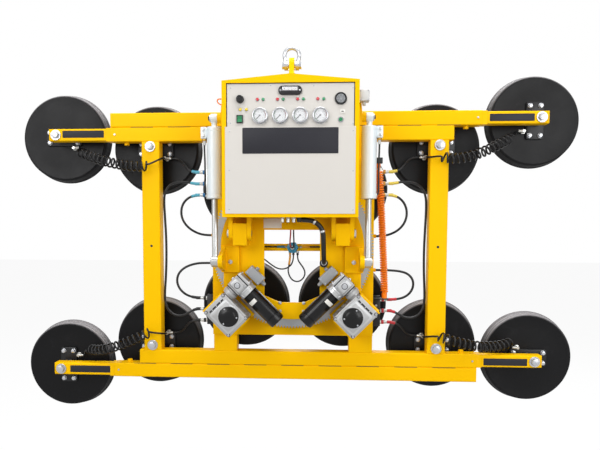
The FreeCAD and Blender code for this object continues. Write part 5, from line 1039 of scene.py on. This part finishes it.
def limit_switch(side_name, at):
    """Two-part switch box with its gland and roller boss."""
    switch = Piece(f"{side_name}_limit_switch_unit")
    switch.add(slab(76, 26, 40, 2.6), GREY_MOULDED, at(0, -78, 0))
    switch.add(slab(75, 11, 39, 2.2), GREY_MOULDED, at(0, -97.5, 0))
    switch.add(slab(73, 2, 37, 0), BLACK_MOULDED, at(0, -91.5, 0))
    for u in (-31, 31):
        for n in (-13, 13):
            switch.add(turned([(0, 1), (1.6, 1), (1.6, 1.8), (3, 1.8), (3.2, 0), (0, 0)], 18), ZINC,
                       at(u, -103, n) @ AHEAD)
    switch.add(prism(6, 9, 7, 0.8), GREY_MOULDED, at(38, -84, 0) @ ALONG)
    switch.add(turned([(0, 20), (4, 20), (6.8, 18), (7.6, 14), (7.6, 7), (0, 7)], 28), GREY_MOULDED,
               at(38, -84, 0) @ ALONG)
    switch.add(turned([(0, 12), (6, 12), (7.4, 10), (7.4, 0), (0, 0)], 28), GREY_MOULDED, at(-12, -84, 20))
    switch.done("tilt_frame", "limit_switches", slot="grey_plastic")


for side_name, side in SIDES.items():
    drive_place = leaning(side, -244.94, -269.26)
    gearbox(side_name, drive_place)
    drive_motor(side_name, drive_place)
    limit_switch(side_name, leaning(side, -150, -112))


# Vacuum distribution on the rotating frame

COLLARS = {
    ("top", "left"): (BLUE, SKY), ("top", "right"): (AMBER, LEMON),
    ("low", "left"): (BLACK_MOULDED, BLACK_MOULDED), ("low", "right"): (RED, RED)}
BLOCKS = {"top": NICKEL, "low": BLACK_STEEL}
BLOCK_X, BLOCK_FACE, PORT_DEPTH, PORT_END = 355, 372, 41, 395
PORT_ROWS = (319, 270, 222)
CURL_DEPTH, CURL_TOP, CURL_FOOT = 6, 350, -212
UNION_DEPTH = -14


def port_block(level_name, level, side_name, side):
    """A block on the column with three couplings, each with a coloured collar."""
    block = Piece(f"port_block_{level_name}_{side_name}")
    block.add(slab(34, 30, 130, 1.6), BLOCKS[level_name],
              spot(BLOCK_X * side, PORT_DEPTH, PORT_ROWS[1] * level))
    for z in (294, 246):
        cap_screw(block, spot(BLOCK_X * side, 26, z * level), FRONT, 4.5, 4)
    for z in PORT_ROWS:
        here = aimed(spot(BLOCK_FACE * side, PORT_DEPTH, z * level), RIGHT * side)
        collar, sleeve = COLLARS[level_name, side_name]
        block.add(prism(6, 9, 6, 0.8), NICKEL, here)
        block.add(turned([(5, 6), (8.6, 6.6), (9, 7.4), (9, 15.4), (8.6, 16.2), (5, 17)], 28), collar, here)
        block.add(turned([(0, 17), (7.4, 17), (7.4, 24), (6.4, 25), (6.4, 30), (4, 31)], 28), NICKEL, here)
        block.add(turned([(4, 30), (6.6, 30.4), (6.8, 31.4), (6.8, 48), (6.2, 50), (4, 50.4)], 28), sleeve,
                  here)
    return block.done("rotor", "manifolds", slot="bright_steel")


for level_name, level in LEVELS.items():
    for side_name, side in SIDES.items():
        port_block(level_name, level, side_name, side)

curl_ends = Piece("curled_line_ends")
curl_ends.add(slab(34, 24, 24, 2.0), BLACK_MOULDED, spot(BLOCK_X, CURL_DEPTH, 362))
curl_ends.add(slab(66, 24, 6, 1.0), BLACK_MOULDED, spot(371, CURL_DEPTH, -215))
curl_ends.add(turned([(0, 0), (9, 0), (9, 12), (7, 16), (4.2, 20), (0, 20)], 32), ORANGE,
              aimed(spot(BLOCK_X, CURL_DEPTH, CURL_TOP), DOWN))
curl_ends.add(turned([(0, 0), (11, 0), (11, 20), (9, 26), (4.2, 34), (0, 34)], 32), ORANGE,
              aimed(spot(387, CURL_DEPTH, CURL_FOOT), UP))
curl_ends.done("rotor", "manifolds", slot="black_plastic")

union = Piece("rotary_union_unit")
union.add(slab(476, 30, 30, 1.6), YELLOW, spot(0, 15, 0))
here = aimed(spot(0, 0, 0), FRONT)
union.add(prism(6, 25, 28, 1.6), TEAL, here)
union.add(turned([(0, 33), (11, 33), (12, 32), (12, 26), (0, 26)], 48), TEAL, here)
union.add(turned([(0, 36), (7, 36), (8, 35), (8, 30), (0, 30)], 40), NICKEL, here)
union.add(turned([(0, 36.3), (4.6, 36.3), (4.8, 35), (0, 35)], 32), BLACK_MOULDED, here)
for x, far, surface in ((-34, -66, TEAL), (40, 68, AMBER)):
    way = RIGHT if x > 0 else LEFT
    union.add(prism(6, 5.4, 10, 0.5), NICKEL, aimed(spot(x - 10 * way.x, -5, 3), way))
    union.add(turned([(0, 0), (4.6, 0), (4.8, 1), (4.8, 31), (3.6, 32), (0, 32)], 24), surface,
              aimed(spot(x, -5, 3), way))
    union.add(tube([(far, -5, 3), (far + 50 * way.x, -4.4, 3), (210 * way.x, -4.4, 3),
                    (226 * way.x, -4, 2)], 6.4), BLACK_MOULDED)
    union.add(prism(6, 6, 9, 0.6), NICKEL, aimed(spot(224 * way.x, -5, 2), way))
union.add(tube([(-10.5, -14, -34), (-10.5, -14, -50), (-15, -19, -72)], 9), AMBER)
for x, surface in ((-10.5, AMBER), (3.5, BLACK_MOULDED), (21, BLACK_MOULDED)):
    here = aimed(spot(x, UNION_DEPTH, -14), DOWN)
    union.add(prism(6, 6.4, 8, 0.6), NICKEL, here)
    union.add(turned([(0, 18), (4, 18), (5, 17), (5, 8), (0, 8)], 24), surface, here)
union.add(prism(6, 8, 8, 0.8), NICKEL, aimed(spot(-238, 30, -22), RIGHT))
union.done("rotor", "rotary_union", slot="bright_steel")


# Hoses

FEED_LINE, PAD_LINE, THIN_LINE, CURLED_TUBE, SLEEVE, CONDUIT = 10, 8, 6, 8, 12.6, 19
COIL_X, BARB_X = 557, 944


def laid_hose(name, route, diameter, length, body, node, surface=HOSE):
    hose = hose_line(name, route, diameter, surface)
    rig.ride(hose, body)
    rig.replaces(hose, node)
    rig.slot(hose, "hose_rubber")
    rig.cord(hose, exit=spot(*route[0]), length=length, diameter=diameter / 1000, far_end="object",
            stiffness="medium", lay="hanging")
    return hose


FEED_ROUTES = {
    "feed_tl": (0.311, [
        (-395, 41, 222), (-422, 41, 222), (-455, 37, 209), (-478, 32, 180), (-483, 29, 142),
        (-472, 28, 107), (-447, 30, 78), (-413, 37, 58), (-379, 40, 50), (-352, 40, 50)]),
    "feed_bl": (0.336, [
        (-395, 41, -222), (-422, 41, -222), (-458, 37, -213), (-488, 32, -190), (-504, 29, -156),
        (-499, 28, -120), (-475, 29, -93), (-443, 33, -78), (-411, 38, -71), (-379, 40, -70),
        (-352, 40, -70)]),
    "feed_tr": (0.308, [
        (395, 41, 222), (422, 41, 222), (454, 37, 206), (475, 33, 175), (480, 31, 139), (471, 31, 105),
        (448, 32, 76), (415, 37, 57), (379, 40, 48), (352, 40, 48)]),
    "feed_br": (0.339, [
        (395, 41, -222), (422, 41, -222), (462, 37, -217), (492, 33, -200), (510, 30, -171),
        (510, 29, -137), (489, 30, -111), (456, 33, -100), (418, 38, -97), (379, 40, -96), (352, 40, -96)]),
    "link_left": (0.849, [
        (-395, 41, 270), (-422, 41, 270), (-463, 36, 278), (-504, 31, 278), (-537, 28, 261),
        (-553, 28, 229), (-556, 30, 189), (-553, 32, 120), (-549, 33, 40), (-549, 33, -50),
        (-552, 32, -130), (-557, 30, -196), (-556, 28, -243), (-541, 27, -280), (-511, 28, -300),
        (-475, 31, -299), (-448, 37, -283), (-422, 41, -270), (-395, 41, -270)]),
    "link_right": (0.846, [
        (395, 41, 270), (422, 41, 270), (466, 36, 278), (509, 31, 273), (542, 28, 250), (557, 28, 213),
        (559, 30, 160), (556, 32, 80), (553, 33, -10), (554, 33, -100), (558, 31, -178), (558, 28, -236),
        (545, 27, -275), (516, 28, -299), (478, 31, -299), (449, 37, -283), (422, 41, -270),
        (395, 41, -270)]),
}
sleeves = Piece("hose_sleeves")


def sleeve_over(route, level_name, side_name):
    """A bent sleeve over the first stretch of a hose, in the colour of its port block."""
    half_way = [(a + b) / 2 for a, b in zip(route[1], route[2])]
    surface = COLLARS[level_name, side_name][1]
    sleeves.add(tube([route[0], route[1], half_way], SLEEVE), surface)


for name, (length, route) in FEED_ROUTES.items():
    laid_hose(f"{name}_hose", route, FEED_LINE, length, "rotor", "feed_hoses")
    for end in (route, route[::-1]):
        if abs(end[0][0]) == PORT_END:
            sleeve_over(end, "top" if end[0][2] > 0 else "low", "right" if end[0][0] > 0 else "left")

UNION_ROUTES = {
    "union_loop": (0.266, [
        (-10.5, -14, -32), (-10.5, -14, -50), (-15, -19, -72), (-19, -23, -97), (-12, -24, -122),
        (4, -24, -140), (27, -24, -143), (46, -23, -129), (54, -21, -107), (47, -19, -86), (33, -16, -68),
        (21, -14, -50), (21, -14, -32)]),
    "union_branch": (0.293, [
        (3.5, -14, -32), (3.5, -14, -50), (-6, -11, -75), (-30, -8, -91), (-62, -5, -91), (-93, 0, -72),
        (-122, 7, -49), (-152, 16, -33), (-180, 25, -24), (-203, 30, -22), (-230, 30, -22)]),
}
for name, (length, route) in UNION_ROUTES.items():
    laid_hose(f"{name}_hose", route, THIN_LINE, length, "rotor", "feed_hoses")

PAD_ROUTE = [(395, 41, 319), (422, 41, 319), (451, 45, 329), (470, 54, 349), (485, 65, 369), (508, 75, 382),
             (535, 75, 382)]
for side_name, side in SIDES.items():
    for level_name, level in LEVELS.items():
        route = [(x * side, y, z * level) for x, y, z in PAD_ROUTE]
        laid_hose(f"pad_hose_{level_name}_{side_name}", route, PAD_LINE, 0.167, "rotor", "pad_hoses")
        sleeve_over(route, level_name, side_name)
sleeves.done("rotor", slot="black_plastic")

for side_name, side in SIDES.items():
    route = [(6 * side, -57.5, 74), (6 * side, -57.5, 60.5), (7 * side, -67, 44), (8 * side, -71, 29),
             (8 * side, -68, 17), (7 * side, -61, 7), (6 * side, -49.8, 2), (6 * side, -36.3, 2)]
    surface = RED_HOSE if side < 0 else HOSE
    laid_hose(f"union_hose_{side_name}", route, THIN_LINE, 0.097, "tilt_frame", "union_hoses", surface)


def line_points(line):
    """The points of a smooth line as it is drawn, with no thickness."""
    line.data.bevel_depth = 0
    bpy.context.view_layer.update()
    drawn = bpy.data.meshes.new_from_object(line)
    points = [v.co.copy() for v in drawn.vertices]
    bpy.data.meshes.remove(drawn)
    return points


def bent(points, share):
    """The place at a share of the gently bent line that the points pull."""
    while len(points) > 1:
        points = [a.lerp(b, share) for a, b in zip(points, points[1:])]
    return points[0]


def curled(name, axis, lead_in, lead_out, outer, diameter, curls, surface):
    """A curly hose: its leads, and curls about a smooth axis, all on one line."""
    axis = [spot(*p) for p in axis]
    steps, side = 14 * curls, Vector((0, -1, 0))
    radius = (outer - diameter) / 2000
    curl_points = []
    for step in range(steps + 1):
        share = step / steps
        heading = (bent(axis, min(share + 0.01, 1)) - bent(axis, max(share - 0.01, 0))).normalized()
        side = (side - heading * heading.dot(side)).normalized()
        turn = math.tau * curls * share
        curl_points.append(bent(axis, share)
                           + (side * math.cos(turn) + heading.cross(side) * math.sin(turn)) * radius)
    route = [spot(*p) for p in lead_in] + curl_points + [spot(*p) for p in lead_out]
    return smooth_line(name, route, diameter, surface, 2, 2)


def as_mesh(hose):
    """A hose as a mesh tube, and the points that it follows."""
    thick = hose.data.bevel_depth
    path = line_points(hose)
    hose.data.bevel_depth = thick
    bpy.context.view_layer.update()
    skin = bpy.data.meshes.new_from_object(hose)
    name, surface = hose.name, hose.data.materials[0]
    bpy.data.objects.remove(hose)
    for face in skin.polygons:
        face.use_smooth = True
    if not skin.materials:
        skin.materials.append(surface)
    return placed(name, skin), path


COILS = {
    "tl": (-1, 1, 430, 2.07, [(-920, 40, 404), (-819, -17, 367), (-712, -46, 330), (-606, -34, 339)]),
    "tr": (1, 1, 490, 2.05, [(905, 50, 457), (815, -19, 413), (711, -48, 343), (606, -34, 373)]),
    "bl": (-1, -1, -490, 2.07, [(-905, 50, -456), (-815, -17, -461), (-711, -46, -408), (-606, -34, -364)]),
    "br": (1, -1, -430, 2.06, [(920, 40, -402), (819, -17, -427), (712, -47, -399), (606, -34, -364)]),
}
for corner, (side, level, barb_z, length, axis) in COILS.items():
    lead_in = [(x * side, 75, barb_z) for x in (BARB_X, BARB_X - 8)]
    lead_out = [(COIL_X * side, y, z * level) for y, z in ((-12, 372), (42, 382), (50, 382))]
    hose = curled(f"coil_hose_{corner}", axis, lead_in, lead_out, 46, CURLED_TUBE, 15, HOSE)
    coil, path = as_mesh(hose)
    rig.blend(coil, "rotor", f"arm_{corner}", start=spot(COIL_X * side, 0, barb_z),
             end=spot(BARB_X * side, 0, barb_z))
    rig.replaces(coil, "coil_hoses")
    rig.slot(coil, "coil_plastic")
    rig.cord(coil, exit=path[0], length=length, diameter=0.008, far_end="object", stiffness="medium",
            lay="hanging", path=path)

axis = [(x, CURL_DEPTH, z) for x, z in ((359, 322), (377, 60), (387, -186))]
lead_in = [(BLOCK_X, CURL_DEPTH, z) for z in (CURL_TOP, CURL_TOP - 8)]
lead_out = [(387, CURL_DEPTH, z) for z in (CURL_FOOT + 8, CURL_FOOT)]
curled_line = curled("orange_curled_line", axis, lead_in, lead_out, 32, CURLED_TUBE, 51, ORANGE)
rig.ride(curled_line, "rotor")
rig.replaces(curled_line, "curled_line")
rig.slot(curled_line, "orange_plastic")
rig.cord(curled_line, exit=spot(BLOCK_X, CURL_DEPTH, CURL_TOP), length=3.88, diameter=0.008,
        far_end="object", stiffness="medium", lay="hanging")

CONDUIT_ROUTE = [
    (45.3, -200, 113.5), (80.4, -200, 113.5), (110.6, -199.5, 96.1), (128, -198, 65.9), (129, -190, 20),
    (130, -172, -22), (131, -141, -52), (131, -108, -62), (131, -80.3, -62)]
conduit, path = as_mesh(hose_line("cable_conduit_hose", CONDUIT_ROUTE, CONDUIT, HOSE))
banded = bmesh.new()
banded.from_mesh(conduit.data)
for share in (0.14, 0.34, 0.86):
    mark = int(share * (len(path) - 1))
    band = turned([(9.3, -4), (10.4, -4), (10.7, -3.4), (10.7, 3.4), (10.4, 4), (9.3, 4)], 28)
    bmesh.ops.transform(band, matrix=aimed(path[mark], path[mark + 1] - path[mark]), verts=band.verts)
    for face in band.faces:
        face.material_index, face.smooth = 1, True
    rings = bpy.data.meshes.new("band")
    band.to_mesh(rings)
    band.free()
    banded.from_mesh(rings)
    bpy.data.meshes.remove(rings)
banded.to_mesh(conduit.data)
banded.free()
conduit.data.materials.append(ZINC)
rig.blend(conduit, "headstock", "tilt_frame", start=spot(45, -200, 113), end=spot(131, -80, -62))
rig.replaces(conduit, "cable_conduit")
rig.slot(conduit, "hose_rubber")
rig.cord(conduit, exit=path[0], length=0.298, diameter=0.019, far_end="object", stiffness="medium",
        lay="hanging", path=path)


# Plain plates on the arms

for corner, (x, z) in {"tl": (-895, 478), "tr": (895, 535), "bl": (-884, -535), "br": (894, -478)}.items():
    tag = Piece(f"arm_plate_{corner}")
    tag.add(slab(180, 1.0, 30, 0.3, 3), PLATE_DARK, spot(x, 3.8, z))
    tag.done(f"arm_{corner}", slot="black_plastic")


# Small fittings on the frame

fittings = Piece("beam_fittings")
for level in LEVELS.values():
    for step in range(-4, 5):
        fittings.add(slab(96, 0.8, 1.5, 0), DIAL_INK, spot(160 * step, -0.1, 505 * level))
# Painted shade: a thin black disc on each outer column stands in for the dark inside a small hole.
for side in SIDES.values():
    fittings.add(turned([(0, 0.4), (5, 0.4), (5.4, 0), (0, 0)], 24), BLACK_MOULDED,
                 aimed(spot(605 * side, 0, 4), FRONT))
for x, z in ((-757, 475), (757, 535), (-757, -535), (757, -475)):
    cap_screw(fittings, spot(x, 0, z), FRONT, 4, 3)
fittings.done("rotor", slot="bright_steel")

plate_fittings = Piece("tilt_plate_fittings")
plate_fittings.add(slab(74, 1.2, 40, 0.3, 2), PLATE_PALE, spot(-80, -65.5, 101))
for x in (-49, 49):
    for z in (-227, -262):
        bolt(plate_fittings, spot(x, -65, z), FRONT, 6, 6, 7)
for side in SIDES.values():
    bolt(plate_fittings, spot(253 * side, -80, -58), FRONT, 7, 7, 9)
plate_fittings.done("tilt_frame", slot="bright_steel")

shoulders = Piece("tilt_plate_shoulders")
for side in SIDES.values():
    edge = [(284, -78), (284, -212), (200, -212), (238, -150), (260, -110), (275, -78)]
    shoulders.add(outline([(x * side, z) for x, z in edge], 12, 1.0), YELLOW, spot(0, -64.4, 0))
shoulders.done("tilt_frame", slot="yellow_paint")

side_fittings = Piece("casing_side_fittings")
for side in SIDES.values():
    side_fittings.add(prism(6, 8.4, 6, 0.8), BLACK_STEEL,
                      aimed(spot(322 * side, CYLINDER_DEPTH, TOP_PIN), RIGHT * side, 0.2))
loop = [(-258, -206, 551), (-266, -206, 552), (-280, -206, 560), (-283, -206, 571), (-274, -206, 577),
        (-258, -206, 573)]
side_fittings.add(tube(loop, 4.6), ORANGE)
side_fittings.done("headstock", slot="bright_steel")


# Studio: pale floor and backdrop, soft light and the camera

FLOOR_LEVEL = -1.95
EYE_PLACE, EYE_AHEAD = Vector((0.1223, -2.4195, -0.6983)), Vector((-0.0567, 0.996, -0.0688)).normalized()
EYE_ROLL, EYE_SHIFT = -0.0024, (0.0207, 0.0732)
SOFTBOXES = {
    "overhead_softbox": ((0.2, -0.8, 2.6), (0, 0, -0.7), 3.2, 105),
    "key_softbox": ((-2.4, -3.6, 0.7), (0, 0, -0.8), 2.4, 78),
    "fill_softbox": ((2.8, -3.4, 0.0), (0.3, 0, -0.9), 2.6, 74),
    "back_softbox": ((0.5, 3.2, 1.0), (0, 0, -0.7), 2.6, 66),
}


def white_where_seen(tree):
    """One for what is seen, in a polished face or through glass too, and nothing for light on the piece."""
    seen = tree.nodes.new("ShaderNodeLightPath")
    found = seen.outputs["Is Camera Ray"]
    for kind in ("Is Glossy Ray", "Is Transmission Ray"):
        found = worked_out(tree, "MAXIMUM", found, seen.outputs[kind])
    return found


def seen_or_lit(tree, lit, seen, output):
    """One shader for what is seen and another for the light that it throws on the piece."""
    mix = tree.nodes.new("ShaderNodeMixShader")
    tree.links.new(white_where_seen(tree), mix.inputs["Fac"])
    tree.links.new(lit.outputs[0], mix.inputs[1])
    tree.links.new(seen.outputs[0], mix.inputs[2])
    tree.links.new(mix.outputs[0], tree.nodes[output].inputs["Surface"])


def make_backdrop():
    """White where it is seen, and a soft dome of light that is stronger from above."""
    world = bpy.data.worlds.new("studio_white")
    world.use_nodes = True
    bpy.context.scene.world = world
    tree = world.node_tree
    soft = valued(tree.nodes["Background"], {"Color": (1, 1, 1, 1)})
    height = tree.nodes.new("ShaderNodeSeparateXYZ")
    tree.links.new(tree.nodes.new("ShaderNodeTexCoord").outputs["Generated"], height.inputs[0])
    dome = valued(tree.nodes.new("ShaderNodeMapRange"), {
        "From Min": -0.3, "From Max": 0.8, "To Min": 0.08, "To Max": 0.66})
    tree.links.new(height.outputs["Z"], dome.inputs["Value"])
    tree.links.new(dome.outputs["Result"], soft.inputs["Strength"])
    bright = valued(tree.nodes.new("ShaderNodeBackground"), {"Color": (1, 1, 1, 1), "Strength": 1.0})
    seen_or_lit(tree, soft, bright, "World Output")


def make_floor():
    """A wide sheet of paper that looks white and throws back little light."""
    ground = bmesh.new()
    bmesh.ops.create_grid(ground, x_segments=1, y_segments=1, size=14,
                          matrix=Matrix.Translation((0, 6, FLOOR_LEVEL)))
    shape = bpy.data.meshes.new("studio_floor")
    ground.to_mesh(shape)
    ground.free()
    floor = placed("studio_floor", shape)
    paper = bpy.data.materials.new("floor_paper")
    paper.use_nodes = True
    tree = paper.node_tree
    bounce = valued(tree.nodes["Principled BSDF"], {"Base Color": (0.3, 0.3, 0.3, 1), "Roughness": 0.9})
    face = valued(tree.nodes.new("ShaderNodeBsdfDiffuse"), {"Color": (0.9, 0.9, 0.9, 1)})
    glow = valued(tree.nodes.new("ShaderNodeEmission"), {"Strength": 1.0})
    pale = valued(tree.nodes.new("ShaderNodeMixShader"), {"Fac": 0.9})
    tree.links.new(face.outputs[0], pale.inputs[1])
    tree.links.new(glow.outputs[0], pale.inputs[2])
    seen_or_lit(tree, bounce, pale, "Material Output")
    shape.materials.append(paper)
    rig.stage(floor)


def make_lights():
    for name, (place, target, size, power) in SOFTBOXES.items():
        lamp = bpy.data.lights.new(name, "AREA")
        lamp.shape, lamp.size, lamp.energy = "DISK", size, power
        light = placed(name, lamp)
        light.location = place
        light.rotation_euler = (Vector(target) - Vector(place)).to_track_quat("-Z", "Y").to_euler()


def make_camera():
    """The camera of the photograph, as it was found from points on the pads and beams."""
    eye = bpy.data.cameras.new("photo_view")
    eye.sensor_width, eye.lens = 36.0, 36.0
    eye.shift_x, eye.shift_y = EYE_SHIFT
    camera = placed("photo_view", eye)
    right = EYE_AHEAD.cross(UP).normalized()
    right = (Matrix.Rotation(EYE_ROLL, 3, EYE_AHEAD) @ right).normalized()
    turned_so = Matrix((right, right.cross(EYE_AHEAD), -EYE_AHEAD)).transposed().to_4x4()
    camera.matrix_world = Matrix.Translation(EYE_PLACE) @ turned_so
    bpy.context.scene.camera = camera


bpy.context.scene.view_settings.view_transform = "Standard"
make_backdrop()
make_floor()
make_lights()
make_camera()

with open("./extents.json", "w") as note:
    boxes = {"cad": cad_box, "visual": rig.bounds()}
    json.dump({key: [list(map(float, corner)) for corner in box] for key, box in boxes.items()}, note)
